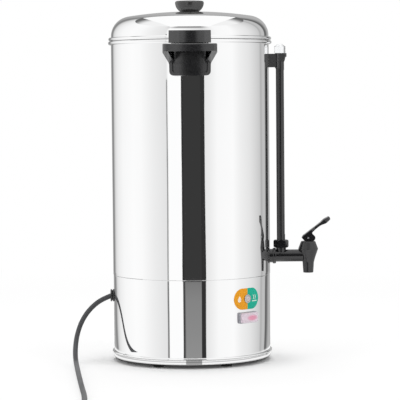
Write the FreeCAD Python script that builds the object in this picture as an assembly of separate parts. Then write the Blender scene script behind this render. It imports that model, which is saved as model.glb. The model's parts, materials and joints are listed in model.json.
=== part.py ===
import FreeCAD, Part
import math
import os

"""Hot water urn: polished steel tank on a heated base, with a lever tap, a level gauge and a twist lid.

Millimetres. The origin is on the surface the urn stands on, at the tank's axis. +Z is up, the tap is
towards +X, the carrying handles are at -Y and +Y, and the mains lead leaves towards -X.
"""

V = FreeCAD.Vector
ORIGIN = V(0, 0, 0)
X_AXIS = V(1, 0, 0)
Y_AXIS = V(0, 1, 0)
Z_AXIS = V(0, 0, 1)

# Fits, in millimetres of radial room
RUNNING = 0.06
SLIP = 0.3
SHEET_FIT = 0.4

# Shell and base
shell_radius = 110.0
shell_wall = 0.8
skirt_inset = 0.4
foot_height = 4.2
pan_depth = 7.2
skirt_height = 109.1
tank_height = 325.3
tank_bead_section = 2.6
tank_bead_proud = 1.4
skirt_bead_section = 1.85
skirt_bead_proud = 0.8
floor_height = 8.5
floor_thickness = 1.0
floor_flange_depth = 7.0
pan_thickness = 1.0
pan_corner = 3.0
pan_spigot_height = 6.6
collar_height = 6.5

# Lid
lid_inset = 0.2
lid_wall = 0.7
lid_crown_radius = 570.0
lid_shoulder_radius = 27.5
lid_side_height = 6.4
lid_bead_section = 2.4
lid_bead_proud = 1.3
lid_ring_wall = 0.8
lid_ring_depth = 8.0
seal_width = 2.4
seal_height = 8.0
knob_radius = 20.1
knob_foot_radius = 12.5
knob_height = 15.7
knob_widest_height = 12.0
knob_edge = 2.6
knob_screw_radius = 2.5
catch_width = 57.0
catch_thickness = 5.2
catch_drop = 12.2
catch_rise = 4.8
rivet_radius = 1.6

# Carrying handles
handle_lip_width = 72.6
handle_pad_width = 57.2
handle_reach = 45.0
handle_lip_height = 10.2
handle_lip_thickness = 5.0
handle_shelf_thickness = 4.2
handle_pad_height = 41.8
handle_pad_thickness = 8.0
handle_rim_width = 4.0
handle_tray_depth = 2.5
handle_web_thickness = 7.0
handle_rib_offset = 18.5
handle_rib_thickness = 2.5
handle_web_drop = 16.0
handle_gap = 1.8
handle_screw_spacing = 30.0
handle_screw_height = 14.0
handle_screw_radius = 2.5

# Tap
tap_height = 23.7
shank_radius = 8.5
shank_bore = 4.0
shank_inner_end = 12.0
collar_radius = 11.0
collar_thickness = 4.4
tap_washer_thickness = 3.8
tap_washer_radius = 9.5
locknut_width = 24.0
locknut_thickness = 6.0
tap_reach = 53.7
spout_length = 24.0
spout_radius = 7.05
spout_bore = 4.5
tap_belly_radius = 14.0
tap_belly_height = 9.4
tap_top_radius = 10.0
tap_top_height = 20.0
seat_drop = 5.2
chamber_radius = 7.2
bonnet_radius = 8.2
bonnet_length = 9.0
stem_radius = 2.6
stem_flange_radius = 4.4
cup_radius = 5.8
pin_radius = 1.5
cam_radius = 4.6
cam_offset = 5.24
cam_room = 0.2
yoke_width = 13.0
yoke_slot = 5.8
lever_angle = 37.1
lever_length = 44.3
paddle_width = 17.0
spring_wire = 0.7
spring_radius = 5.0
spring_turns = 4

# Level gauge
gauge_reach = 15.6
gauge_boss_radius = 7.0
gauge_nut_width = 18.4
gauge_nut_height = 10.8
guard_radius = 5.85
guard_bore = 4.4
guard_slot = 4.6
glass_radius = 4.0
glass_bore = 2.8
bracket_height = 19.6
bracket_width = 15.0
bracket_drop = 18.1
bracket_screw_radius = 1.6
clip_wall = 1.15
ledge_reach = 9.4
ledge_thickness = 5.2
cap_radius = 7.8
cap_height = 12.7
cap_sides = 12

# Panel on the base skirt
panel_angle = -46.5
label_width = 47.0
label_height = 29.0
label_thickness = 0.4
label_rise = 80.8
lamp_bezel_radius = 6.0
lamp_radius = 4.4
switch_rise = 55.2
switch_width = 32.5
switch_height = 15.0
switch_body_width = 27.2
switch_body_height = 12.2
switch_depth = 20.0
switch_bezel = 2.6
boot_height = 3.4
boot_wall = 0.7
rocker_tilt = 6.0

# Heater and wiring
plate_radius = 60.0
plate_thickness = 6.0
element_ring = 45.0
element_radius = 4.0
clamp_radius = 52.0
clamp_thickness = 2.0
stud_radius = 2.5
stud_circle = 26.0
stud_end = 12.0
clamp_nut_width = 8.0
clamp_nut_height = 4.0
element_gap_angle = 44.0
element_tail = 22.0
element_tab = 6.0
thermostat_radius = 12.5
thermostat_height = 14.0
cutout_place = (-28.0, 44.0)
button_radius = 3.0
button_show = 1.5
button_travel = 1.2
block_place = (-58.0, -18.0)

# Feet and screws
foot_radius = 8.0
foot_inset = 17.7
foot_recess = 2.4
base_screw_radius = 2.0
foot_angles = (60.0, 120.0, 240.0, 300.0)
bracket_angles = (90.0, 210.0, 330.0)
pan_screw_inset = 7.8
vent_start = 58.0
vent_length = 16.0
vent_width = 4.0
vent_count = 12

# Mains lead
cord_diameter = 6.8
gland_height = 79.0
gland_radius = 8.7
gland_show = 5.0
gland_thread = 6.4
coil_centre = (-83.0, -566.0)
coil_outer = 45.0
coil_pitch = 7.4
coil_lift = 4.7
coil_layer = 7.5
coil_turns_in = 1.5
coil_turns_out = 1.25
tail_steps = ((22.0, 0.0), (42.0, 0.42), (62.0, 0.97), (82.0, 1.0))
plug_radius = 18.5
plug_length = 34.0
plug_neck = 20.0

# Radii that follow from the sizes above
tank_inner = shell_radius - shell_wall
skirt_radius = shell_radius - skirt_inset
skirt_inner = skirt_radius - shell_wall
tank_bead_radius = shell_radius + tank_bead_proud
skirt_bead_radius = skirt_radius + skirt_bead_proud
lid_radius = shell_radius - lid_inset
lid_bead_radius = lid_radius + lid_bead_proud
lid_ring_radius = tank_inner - seal_width - 2 * SLIP
foot_circle = shell_radius - foot_inset
pan_screw_circle = skirt_inner - pan_screw_inset

# Heights and places that follow
pan_top = foot_height + pan_depth
seam = pan_top + skirt_height
tank_top = seam + tank_height
tank_floor_top = seam + floor_height
floor_under = tank_floor_top - floor_thickness
lid_bottom = tank_top + SLIP
shoulder_centre_r = lid_radius - lid_shoulder_radius
shoulder_centre_z = lid_bottom + lid_side_height
crown_drop = math.sqrt((lid_crown_radius - lid_shoulder_radius) ** 2 - shoulder_centre_r ** 2)
crown_centre_z = shoulder_centre_z - crown_drop
lid_top = crown_centre_z + lid_crown_radius
tap_z = seam + tap_height
tap_x = shell_radius + tap_reach
gauge_x = shell_radius + gauge_reach
bonnet_top = tap_z + tap_top_height
pin_z = bonnet_top + cam_room + cam_radius
gland_z = pan_top + gland_height
label_z = pan_top + label_rise
switch_z = pan_top + switch_rise
heat_plate_under = floor_under - plate_thickness
element_z = heat_plate_under - element_radius
tab_x = element_ring * math.cos(math.radians(element_gap_angle / 2))
tab_y = element_ring * math.sin(math.radians(element_gap_angle / 2))
tab_low = element_z - element_tail - element_tab
cord_radius = cord_diameter / 2
inner_floor = foot_height + pan_thickness
handle_top = lid_bottom + lid_side_height - catch_drop - handle_gap
handle_screw_z = handle_top - handle_pad_height + handle_screw_height
catch_rivet_z = lid_bottom + lid_side_height + 1.2
rocker_pivot = skirt_radius + switch_bezel - 2.4
glass_foot = tap_z + shank_radius - 0.6
gauge_top = tank_top - bracket_drop
bracket_screw_z = gauge_top - bracket_height / 2

pieces = {}


def cylinder(radius, length, base=ORIGIN, axis=Z_AXIS):
    """A round bar from base along axis."""
    return Part.makeCylinder(radius, length, base, axis)


def pipe(outer, inner, length, base=ORIGIN, axis=Z_AXIS):
    """A round tube from base along axis."""
    return cylinder(outer, length, base, axis).cut(cylinder(inner, length, base, axis))


def box(low, high):
    """A block between two corners."""
    return Part.makeBox(high[0] - low[0], high[1] - low[1], high[2] - low[2], V(*low))


def outline(corners, place):
    """A closed face through corners (u, v) or (u, v, radius), where a radius rounds that corner."""
    count = len(corners)
    edges = []
    leave = []
    arrive = []
    for index in range(count):
        here = corners[index]
        before = corners[index - 1]
        after = corners[(index + 1) % count]
        point = V(here[0], here[1], 0)
        radius = here[2] if len(here) > 2 else 0.0
        back = (V(before[0], before[1], 0) - point).normalize()
        ahead = (V(after[0], after[1], 0) - point).normalize()
        if radius == 0.0:
            arrive.append(point)
            leave.append(point)
            continue
        half = back.getAngle(ahead) / 2
        run = radius / math.tan(half)
        centre = point + (back + ahead).normalize() * (radius / math.sin(half))
        start = point + back * run
        end = point + ahead * run
        middle = centre + (point - centre).normalize() * radius
        arrive.append(start)
        leave.append(end)
        edges.append(Part.Arc(place(start), place(middle), place(end)).toShape())
    for index in range(count):
        start = leave[index]
        end = arrive[(index + 1) % count]
        if start.distanceToPoint(end) > 1e-6:
            edges.append(Part.LineSegment(place(start), place(end)).toShape())
    return Part.Face(Part.Wire(Part.__sortEdges__(edges)))


def in_rz(point):
    """Outline point (radius, height) to the plane through the Z axis."""
    return V(point.x, 0, point.y)


def turned(corners, angle=360.0, centre=ORIGIN):
    """A solid of revolution about the vertical line through centre, from corners (radius, height)."""
    solid = outline(corners, in_rz).revolve(ORIGIN, Z_AXIS, angle)
    solid.translate(centre)
    return solid


def slab(corners, thickness, place, along):
    """A plate: the outline through corners, pushed along a direction on both sides of its plane."""
    face = outline(corners, place)
    face.translate(along * (-thickness / 2))
    return face.extrude(along * thickness)


def rounded_bar(width, height, depth, corner, base, wall=0.0):
    """A bar with rounded corners that runs along +X from base, wide in Y and high in Z."""
    u = width / 2 - wall
    v = height / 2 - wall
    r = max(corner - wall, 0.2)
    ring = [(-u, -v, r), (u, -v, r), (u, v, r), (-u, v, r)]
    face = outline(ring, lambda p: V(0, p.x, p.y))
    face.translate(base)
    return face.extrude(V(depth, 0, 0))


def hexagon(width, height, base, axis=Z_AXIS):
    """A hexagonal nut blank, width across flats, with its corners turned off."""
    corner = width / 2 / math.cos(math.pi / 6)
    ring = [(corner * math.cos(math.pi / 3 * k), corner * math.sin(math.pi / 3 * k)) for k in range(6)]
    blank = outline(ring, lambda p: V(p.x, p.y, 0)).extrude(V(0, 0, height))
    trim = corner - width / 2
    dome = turned([(0, 0), (width / 2, 0), (corner, trim), (corner, height - trim),
                   (width / 2, height), (0, height)])
    nut = blank.common(dome)
    nut.Placement = FreeCAD.Placement(base, FreeCAD.Rotation(Z_AXIS, axis))
    return nut


def screw(shank, length, head, head_height, base, axis):
    """A screw whose domed head ends at base and whose shank runs on along axis."""
    profile = [(0, -head_height), (head * 0.72, -head_height, head_height * 0.3),
               (head, -head_height * 0.35), (head, 0), (shank, 0), (shank, length - shank * 0.3),
               (shank * 0.7, length), (0, length)]
    solid = turned(profile)
    solid.Placement = FreeCAD.Placement(base, FreeCAD.Rotation(Z_AXIS, axis))
    return solid


def around(shape, angle):
    """A copy of the shape turned about the tank's axis."""
    copy = shape.copy()
    copy.rotate(ORIGIN, Z_AXIS, angle)
    return copy


def group(shapes):
    """Separate solids kept together as one piece of the list."""
    return Part.Compound(shapes)


def route_path(points):
    """Straight runs through the points, joined by tangent arcs as large as the runs allow."""
    edges = []
    radii = []
    start = points[0]
    for index in range(1, len(points) - 1):
        here = points[index]
        back = points[index - 1] - here
        ahead = points[index + 1] - here
        run = 0.45 * min(back.Length, ahead.Length)
        turn = math.pi - back.getAngle(ahead)
        radius = run / math.tan(turn / 2)
        radii.append(round(radius, 1))
        into = here + back.normalize() * run
        out = here + ahead.normalize() * run
        inward = (back + ahead).normalize()
        middle = here + inward * (radius / math.cos(turn / 2) - radius)
        edges.append(Part.LineSegment(start, into).toShape())
        edges.append(Part.Arc(into, middle, out).toShape())
        start = out
    edges.append(Part.LineSegment(start, points[-1]).toShape())
    return Part.Wire(edges), radii


def tube_along(path, radius):
    """A round tube along a smooth path, square at its start."""
    first = path.Edges[0]
    start = first.valueAt(first.FirstParameter)
    heading = first.tangentAt(first.FirstParameter)
    ring = Part.Wire(Part.Circle(start, heading, radius).toShape())
    return path.makePipeShell([ring], True, False)


def wire_tube(points, radius):
    """A thin lead through hand-picked points."""
    path, _ = route_path([V(*p) for p in points])
    return tube_along(path, radius)


def make_tank_shell():
    """The tank wall: a polished sheet cylinder with its mouth rolled outwards."""
    bead_low = tank_top - 2 * tank_bead_section
    bead_out = tank_bead_radius + tank_bead_section
    shell = turned([(tank_inner, seam), (shell_radius, seam), (shell_radius, bead_low),
                    (bead_out, bead_low, tank_bead_section - 0.02),
                    (bead_out, tank_top, tank_bead_section - 0.02), (tank_inner, tank_top, 1.5)])
    shell = shell.cut(cylinder(shank_radius + SLIP / 3, 2 * shell_radius, V(0, 0, tap_z), X_AXIS))
    shell = shell.cut(cylinder(bracket_screw_radius, 2 * shell_radius, V(0, 0, bracket_screw_z), X_AXIS))
    for side in (-1, 1):
        for x in (-handle_screw_spacing / 2, handle_screw_spacing / 2):
            hole = cylinder(handle_screw_radius + SLIP / 3, 2 * shell_radius, V(x, 0, handle_screw_z),
                            V(0, side, 0))
            shell = shell.cut(hole)
    return shell


def make_tank_floor():
    """The tank's welded floor: a dished plate whose flange backs the wall."""
    low = tank_floor_top - floor_flange_depth
    flange = tank_inner - shell_wall
    return turned([(0, floor_under), (flange, floor_under), (flange, low), (tank_inner, low),
                   (tank_inner, tank_floor_top, 2 * floor_thickness), (0, tank_floor_top)])


def make_base_skirt():
    """The skirt under the tank: a steel ring, beaded at its foot, its collar inside the tank floor."""
    shoulder = seam - SLIP / 2
    collar_outer = tank_inner - shell_wall - SLIP
    collar_inner = collar_outer - shell_wall
    bead_out = skirt_bead_radius + skirt_bead_section
    bead_top = pan_top + 2 * skirt_bead_section
    skirt = turned([(bead_out, pan_top, skirt_bead_section - 0.02),
                    (bead_out, bead_top, skirt_bead_section - 0.02), (skirt_radius, bead_top),
                    (skirt_radius, shoulder, 0.6), (collar_outer, shoulder),
                    (collar_outer, seam + collar_height), (collar_inner, seam + collar_height),
                    (collar_inner, shoulder - shell_wall), (skirt_inner, shoulder - shell_wall),
                    (skirt_inner, pan_top)])
    gland_hole = cylinder(gland_thread + SLIP / 3, shell_radius, V(0, 0, gland_z), V(-1, 0, 0))
    lamp_hole = cylinder(lamp_radius + 0.5, shell_radius, V(0, 0, label_z), X_AXIS)
    cutout = rounded_bar(switch_body_width + SHEET_FIT, switch_body_height + SHEET_FIT, shell_radius,
                         0.8, V(0, 0, switch_z))
    for tool in (gland_hole, around(lamp_hole, panel_angle), around(cutout, panel_angle)):
        skirt = skirt.cut(tool)
    return skirt


def make_base_pan():
    """The pan that closes the base, with a spigot inside the skirt and a vent ring of holes."""
    spigot = skirt_inner - SHEET_FIT
    pan = turned([(0, foot_height), (shell_radius, foot_height, pan_corner), (shell_radius, pan_top),
                  (spigot, pan_top), (spigot, pan_top + pan_spigot_height),
                  (spigot - shell_wall, pan_top + pan_spigot_height),
                  (spigot - shell_wall, pan_top - pan_thickness),
                  (shell_radius - pan_thickness, pan_top - pan_thickness),
                  (shell_radius - pan_thickness, inner_floor, pan_corner - pan_thickness),
                  (0, inner_floor)])
    drill = 2 * foot_height
    for angle in foot_angles:
        pan = pan.cut(around(cylinder(base_screw_radius + SLIP / 3, drill, V(foot_circle, 0, 0)), angle))
    for angle in bracket_angles:
        hole = cylinder(base_screw_radius + SLIP / 3, drill, V(pan_screw_circle, 0, 0))
        pan = pan.cut(around(hole, angle))
    pan = pan.cut(cylinder(button_radius + SLIP, drill, V(cutout_place[0], cutout_place[1], 0)))
    for step in range(vent_count):
        vent = box((vent_start, -vent_width / 2, 0), (vent_start + vent_length, vent_width / 2, drill))
        pan = pan.cut(around(vent, 360 / vent_count * step))
    return pan


def make_feet():
    """Four rubber feet, each with a recess for the screw that holds it to the pan."""
    profile = [(base_screw_radius, foot_recess), (4.3, foot_recess), (4.3, 0), (foot_radius - 0.8, 0, 0.5),
               (foot_radius, foot_height, 0.3), (base_screw_radius, foot_height)]
    foot = turned(profile)
    foot.translate(V(foot_circle, 0, 0))
    pieces["feet"] = group([around(foot, angle) for angle in foot_angles])


def make_skirt_brackets():
    """Lugs welded inside the skirt, and the screws of the base: through the feet and into the lugs."""
    lugs = []
    lug_z = pan_top + pan_spigot_height + 1.0
    skirt_bore = cylinder(skirt_inner, seam)
    for angle in bracket_angles:
        lug = box((pan_screw_circle - 6, -7, lug_z), (skirt_radius, 7, lug_z + 2))
        upright = box((skirt_inner - 2.2, -7, lug_z), (skirt_radius, 7, lug_z + 12))
        lug = lug.fuse(upright).common(skirt_bore).removeSplitter()
        lug = lug.cut(cylinder(base_screw_radius, 10, V(pan_screw_circle, 0, lug_z - 2)))
        lugs.append(around(lug, angle))
    pieces["skirt_brackets"] = group(lugs)
    screws = []
    for angle in foot_angles:
        fixing = screw(base_screw_radius, inner_floor + 4.0 - foot_recess, 3.9, 1.8,
                       V(foot_circle, 0, foot_recess), Z_AXIS)
        screws.append(around(fixing, angle))
    for angle in bracket_angles:
        fixing = screw(base_screw_radius, lug_z + 4 - foot_height, 3.6, 1.8,
                       V(pan_screw_circle, 0, foot_height), Z_AXIS)
        screws.append(around(fixing, angle))
    pieces["base_screws"] = group(screws)


def make_heater():
    """The heat plate under the tank, the element ring pressed to it, and what clamps it there."""
    plate = cylinder(plate_radius, plate_thickness, V(0, 0, heat_plate_under))
    ring = Part.makeTorus(element_ring, element_radius, V(0, 0, element_z), Z_AXIS, 0, 360,
                          360 - element_gap_angle)
    ring = around(ring, element_gap_angle / 2)
    for side in (-1, 1):
        end = V(tab_x, side * tab_y, element_z)
        elbow = Part.makeSphere(element_radius, end)
        leg = cylinder(element_radius, element_tail, end - V(0, 0, element_tail))
        tab = cylinder(1.4, element_tail + element_tab, V(tab_x, side * tab_y, tab_low))
        ring = ring.fuse([elbow, leg, tab])
    pieces["heating_element"] = ring.removeSplitter()
    clamp_top = element_z - element_radius
    clamp = cylinder(clamp_radius, clamp_thickness, V(0, 0, clamp_top - clamp_thickness))
    through = 5 * clamp_thickness
    clamp = clamp.cut(cylinder(thermostat_radius + 1.5, 2 * through, V(0, 0, clamp_top - through)))
    clamp = clamp.cut(box((element_ring * 0.72, -element_ring * 0.62, clamp_top - through),
                          (clamp_radius + 1, element_ring * 0.62, clamp_top + through)))
    studs = []
    nuts = []
    for step in range(3):
        place = V(stud_circle, 0, 0)
        hole = cylinder(stud_radius + SLIP / 3, 2 * through, place + V(0, 0, clamp_top - through))
        clamp = clamp.cut(around(hole, 120 * step + 60))
        stud = cylinder(stud_radius, heat_plate_under - clamp_top + stud_end,
                        place + V(0, 0, clamp_top - stud_end))
        studs.append(around(stud, 120 * step + 60))
        nut = hexagon(clamp_nut_width, clamp_nut_height,
                      place + V(0, 0, clamp_top - clamp_thickness - clamp_nut_height))
        nut = nut.cut(cylinder(stud_radius, 2 * stud_end, place + V(0, 0, clamp_top - 2 * stud_end)))
        nuts.append(around(nut, 120 * step + 60))
    pieces["element_clamp"] = clamp
    pieces["heat_plate"] = plate.fuse(studs).removeSplitter()
    pieces["clamp_nuts"] = group(nuts)
    base_z = heat_plate_under - thermostat_height
    body = turned([(0, base_z), (thermostat_radius - 2, base_z, 1), (thermostat_radius - 2, base_z + 6),
                   (thermostat_radius, base_z + 6), (thermostat_radius, heat_plate_under),
                   (0, heat_plate_under)])
    for side in (-1, 1):
        body = body.fuse(box((side * 6 - 0.4, -3.1, base_z - 8), (side * 6 + 0.4, 3.1, base_z)))
    pieces["thermostat"] = body.removeSplitter()


def make_cutout():
    """The dry-boil cut-out on the pan, with a button pressed from under the base to reset it."""
    x, y = cutout_place
    floor = inner_floor
    body = box((x - 13, y - 9, floor), (x + 13, y + 9, floor + 20))
    dome = cylinder(7.5, 6, V(x, y, floor + 20))
    body = body.fuse(dome).removeSplitter()
    depth = button_travel + 6.0
    body = body.cut(cylinder(button_radius + RUNNING, depth, V(x, y, floor)))
    pieces["cutout_body"] = body
    low = foot_height - button_show
    button = turned([(0, low), (button_radius, low, 0.6), (button_radius, floor + depth - button_travel - 0.4),
                     (0, floor + depth - button_travel - 0.4)])
    button.translate(V(x, y, 0))
    pieces["reset_button"] = button


def make_terminals():
    """The terminal block that the lead and the inner wires meet in, its screws, and the earth screw."""
    x, y = block_place
    floor = inner_floor
    block = box((x - 8, y - 18, floor), (x + 8, y + 18, floor + 13))
    screws = []
    for way in range(3):
        at = y - 12 + 12 * way
        block = block.cut(cylinder(2.2, 20, V(x - 10, at, floor + 6), X_AXIS))
        for end in (-4.5, 4.5):
            block = block.cut(cylinder(2.3, 8, V(x + end, at, floor + 6)))
            screws.append(cylinder(2.2, 4.5, V(x + end, at, floor + 8.4)))
    pieces["terminal_block"] = block
    screws.append(screw(2.0, 4.0, 3.8, 2.0, V(x + 24, y, floor + 4.0), V(0, 0, -1)))
    pieces["terminal_screws"] = group(screws)


def make_wires():
    """The end of the lead inside the base, and the insulated wires from the block."""
    x, y = block_place
    floor = inner_floor
    sheath_end = -shell_radius + 30.0
    start = -skirt_inner + 8.0
    sheath = cylinder(cord_radius, 14.0, V(start, 0, gland_z), X_AXIS)
    wires = [sheath]
    for way in range(3):
        at = y - 12 + 12 * way
        spread = 2.1 * (way - 1)
        lead = wire_tube([(start + 14.0, spread, gland_z), (sheath_end + 3, spread, gland_z - 2),
                          (x - 16, at * 0.5, gland_z - 26), (x - 19, at, floor + 30),
                          (x - 17, at, floor + 8), (x - 8.2, at, floor + 6)], 1.0)
        wires.append(lead)
    runs = [((x + 8.2, y - 12, floor + 6), (x + 22, y - 15, floor + 9), (tab_x - 42, -tab_y - 13, floor + 38),
             (tab_x - 4, -tab_y - 7, tab_low - 28), (tab_x, -tab_y, tab_low - 14), (tab_x, -tab_y, tab_low)),
            ((x + 8.2, y, floor + 6), (x + 21, y + 1, floor + 8), (tab_x - 54, tab_y - 23, floor + 40),
             (tab_x - 5, tab_y - 2, tab_low - 26), (tab_x, tab_y, tab_low - 13), (tab_x, tab_y, tab_low))]
    for run in runs:
        wires.append(wire_tube(run, 1.0))
    pieces["inner_wires"] = group(wires)


def panel(shape):
    """Turns a piece that was made facing +X to its place on the front of the skirt."""
    return around(shape, panel_angle)


def make_panel():
    """The two-colour capsule plate with the pilot lamp at its middle."""
    end = label_height / 2
    half = label_width / 2
    ring = [(-half, -end, end - 0.01), (half, -end, end - 0.01), (half, end, end - 0.01),
            (-half, end, end - 0.01)]
    prism = outline(ring, lambda p: V(0, p.x, label_z + p.y)).extrude(V(2 * shell_radius, 0, 0))
    plate = pipe(skirt_radius + label_thickness, skirt_radius, label_height + 4,
                 V(0, 0, label_z - label_height / 2 - 2)).common(prism)
    plate = plate.cut(cylinder(lamp_radius + 0.5, 2 * shell_radius, V(0, 0, label_z), X_AXIS))
    pieces["label_plate"] = panel(plate)
    face = skirt_radius + label_thickness
    sleeve = lamp_radius + 0.4
    holder = turned([(lamp_radius, -16), (sleeve, -16), (sleeve, 0.0), (lamp_bezel_radius, 0.0),
                     (lamp_bezel_radius, 1.0, 0.5), (lamp_radius, 1.4)])
    holder.Placement = FreeCAD.Placement(V(face, 0, label_z), FreeCAD.Rotation(Z_AXIS, X_AXIS))
    back = cylinder(lamp_radius, 2, V(face - 16, 0, label_z), X_AXIS)
    holder = holder.fuse(back).removeSplitter()
    pieces["lamp_holder"] = panel(holder)
    lens = turned([(0, -9), (lamp_radius, -9), (lamp_radius, 1.2), (lamp_radius - 1.4, 2.2, 1.0), (0, 2.6)])
    lens.Placement = FreeCAD.Placement(V(face, 0, label_z), FreeCAD.Rotation(Z_AXIS, X_AXIS))
    pieces["ready_lamp"] = panel(lens)


def make_switch():
    """The mains rocker: grey frame, red rocker, and a clear soft boot held by the frame."""
    face = skirt_radius + switch_bezel
    edge = skirt_radius * (1 - math.cos(math.asin(switch_width / 2 / skirt_radius)))
    flange = rounded_bar(switch_width, switch_height, switch_bezel + edge + 1, 1.6,
                         V(skirt_radius - edge - 1, 0, switch_z))
    flange = flange.cut(cylinder(skirt_radius, seam, ORIGIN))
    body = rounded_bar(switch_body_width, switch_body_height, switch_depth + 1, 0.6,
                       V(face - switch_depth - 1, 0, switch_z))
    frame = flange.fuse(body).removeSplitter()
    well_width = switch_body_width - 0.6
    well_height = switch_body_height - 0.6
    frame = frame.cut(rounded_bar(well_width, well_height, 9.0, 0.5, V(face - 8.0, 0, switch_z)))
    top_edges = [e for e in frame.Edges if abs(e.CenterOfMass.x - face) < 1e-3 and e.BoundBox.YLength < 33
                 and (abs(e.CenterOfMass.z - switch_z) > switch_height / 2 - 1.7
                      or abs(e.CenterOfMass.y) > switch_width / 2 - 1.7)]
    frame = frame.makeFillet(0.8, top_edges)
    for y in (-9.0, 0.0, 9.0):
        frame = frame.fuse(box((face - switch_depth - 9, y - 2.4, switch_z - 0.4),
                               (face - switch_depth - 1, y + 2.4, switch_z + 0.4)))
    pieces["switch_frame"] = panel(frame.removeSplitter())
    outer = rounded_bar(well_width, well_height, boot_height + 7.0, 2.0, V(face - 7.0, 0, switch_z))
    front = face + boot_height
    rim = [e for e in outer.Edges if abs(e.CenterOfMass.x - front) < 1e-3]
    outer = outer.makeFillet(1.8, rim)
    inner = rounded_bar(well_width, well_height, boot_height + 7.0, 2.0, V(face - 8.0, 0, switch_z),
                        boot_wall)
    rim = [e for e in inner.Edges if abs(e.CenterOfMass.x - (front - 1.0)) < 1e-3]
    inner = inner.makeFillet(1.1, rim)
    pieces["switch_boot"] = panel(outer.cut(inner))
    u = well_width / 2 - boot_wall - 1.1
    v = well_height / 2 - boot_wall - 0.4
    rocker = slab([(-3.6, -u * 0.45, 1.0), (1.6, -u), (3.4, -u, 0.7), (1.9, 0.0), (3.4, u, 0.7), (1.6, u),
                   (-3.6, u * 0.45, 1.0)], 2 * v, lambda p: V(p.x, p.y, 0), Z_AXIS)
    rocker.rotate(ORIGIN, Z_AXIS, rocker_tilt)
    rocker = rocker.fuse(cylinder(1.3, 2 * v + 0.5, V(0, 0, -v - 0.25))).removeSplitter()
    rocker.translate(V(rocker_pivot, 0, switch_z))
    pieces["switch_rocker"] = panel(rocker)


def make_gland():
    """The lead's gland: a grooved flange outside, a threaded body and nut inside."""
    out = skirt_radius + gland_show
    body = turned([(0, -17), (gland_thread - 1.6, -17, 1.0), (gland_thread, -12), (gland_thread, 2.0),
                   (gland_radius, 2.0), (gland_radius, 3.2, 0.5), (gland_radius - 1.4, 3.7),
                   (gland_radius - 1.4, 4.5), (gland_radius, 5.0), (gland_radius, 6.6, 0.9),
                   (cord_radius + 1.2, 6.9), (0, 6.9)])
    body.Placement = FreeCAD.Placement(V(-out + 6.9, 0, gland_z), FreeCAD.Rotation(Z_AXIS, V(-1, 0, 0)))
    saddle = cylinder(skirt_radius, seam, ORIGIN)
    thread = cylinder(gland_thread, 40, V(-skirt_inner + 30, 0, gland_z), V(-1, 0, 0))
    body = body.cut(saddle.cut(thread))
    body = body.cut(cylinder(cord_radius, 24, V(-skirt_radius + 2, 0, gland_z), X_AXIS))
    pieces["cord_gland"] = body.cut(cord_start_tube())
    nut = hexagon(17.0, 4.0, V(-skirt_inner + 1.2, 0, gland_z), X_AXIS)
    nut = nut.cut(cylinder(gland_thread, 30, V(-skirt_inner - 5, 0, gland_z), X_AXIS))
    pieces["gland_nut"] = nut.common(cylinder(skirt_inner, seam, ORIGIN))


# The lead's route: out of the gland, down in a bow, then along the table to the coil
coil_start = (coil_centre[0] - coil_outer, coil_centre[1], coil_lift)
lead_route = [
    (-112.6, 0.0, 90.2), (-121.4, -0.3, 86.9), (-132.6, -1.0, 80.9), (-142.9, -3.0, 71.9),
    (-151.2, -7.0, 61.4), (-157.4, -12.5, 49.0), (-161.4, -20.5, 35.2), (-162.6, -33.0, 22.6),
    (-162.0, -50.5, 12.9), (-159.8, -73.0, 6.9), (-156.4, -105.0, 3.6), (-152.0, -155.0, 3.5),
    (-145.2, -229.0, 3.5), (-138.4, -301.0, 3.6), (-132.2, -361.0, 3.6), (-129.6, -428.0, 3.7),
    (-129.2, -486.0, 4.0),
    (coil_start[0] - 0.9, coil_start[1] + 34.0, coil_lift), coil_start,
]


def cord_start_tube():
    """The first stretch of the lead, which the gland grips."""
    path = Part.Wire(Part.LineSegment(V(*lead_route[0]), V(*lead_route[1])).toShape())
    return tube_along(path, cord_radius)


def biarc(start, heading, end, ending):
    """Two tangent arcs from start to end with the given headings."""
    v = end - start
    both = heading + ending
    spread = 1 - heading.dot(ending)
    if spread < 1e-9:
        return [Part.LineSegment(start, end).toShape()]
    reach = v.dot(both)
    d = (-reach + math.sqrt(reach ** 2 + 2 * spread * v.dot(v))) / (2 * spread)
    joint = (start + end + (heading - ending) * d) * 0.5
    arcs = []
    for a, corner, b in ((start, start + heading * d, joint), (joint, end - ending * d, end)):
        half_chord = (b - a).Length / 2
        rise = corner - (a + b) * 0.5
        height = rise.Length
        if height < 1e-6:
            arcs.append(Part.LineSegment(a, b).toShape())
            continue
        side = math.hypot(half_chord, height)
        bulge = half_chord * (side - half_chord) / height
        arcs.append(Part.Arc(a, (a + b) * 0.5 + rise * (bulge / height), b).toShape())
    return arcs


def coil_point(turns):
    """A point of the coil's centre line and its heading, by how many turns have been laid."""
    climb = 0.5
    rate = coil_pitch
    inner = coil_outer - rate * coil_turns_in
    if turns <= coil_turns_in:
        radius, change, z, rise = coil_outer - rate * turns, -rate, coil_lift, 0.0
    elif turns >= coil_turns_in + climb:
        over = turns - coil_turns_in - climb
        radius, change, z, rise = inner + rate * over, rate, coil_lift + coil_layer, 0.0
    else:
        part = (turns - coil_turns_in) / climb
        radius = inner - rate * climb / math.pi * math.sin(math.pi * part)
        change = -rate * math.cos(math.pi * part)
        z = coil_lift + coil_layer * (1 - math.cos(math.pi * part)) / 2
        rise = coil_layer * math.pi / climb * math.sin(math.pi * part) / 2
    angle = math.pi + 2 * math.pi * turns
    c, s = math.cos(angle), math.sin(angle)
    point = V(coil_centre[0] + radius * c, coil_centre[1] + radius * s, z)
    heading = V(change * c - 2 * math.pi * radius * s, change * s + 2 * math.pi * radius * c, rise)
    return point, heading.normalize()


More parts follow.
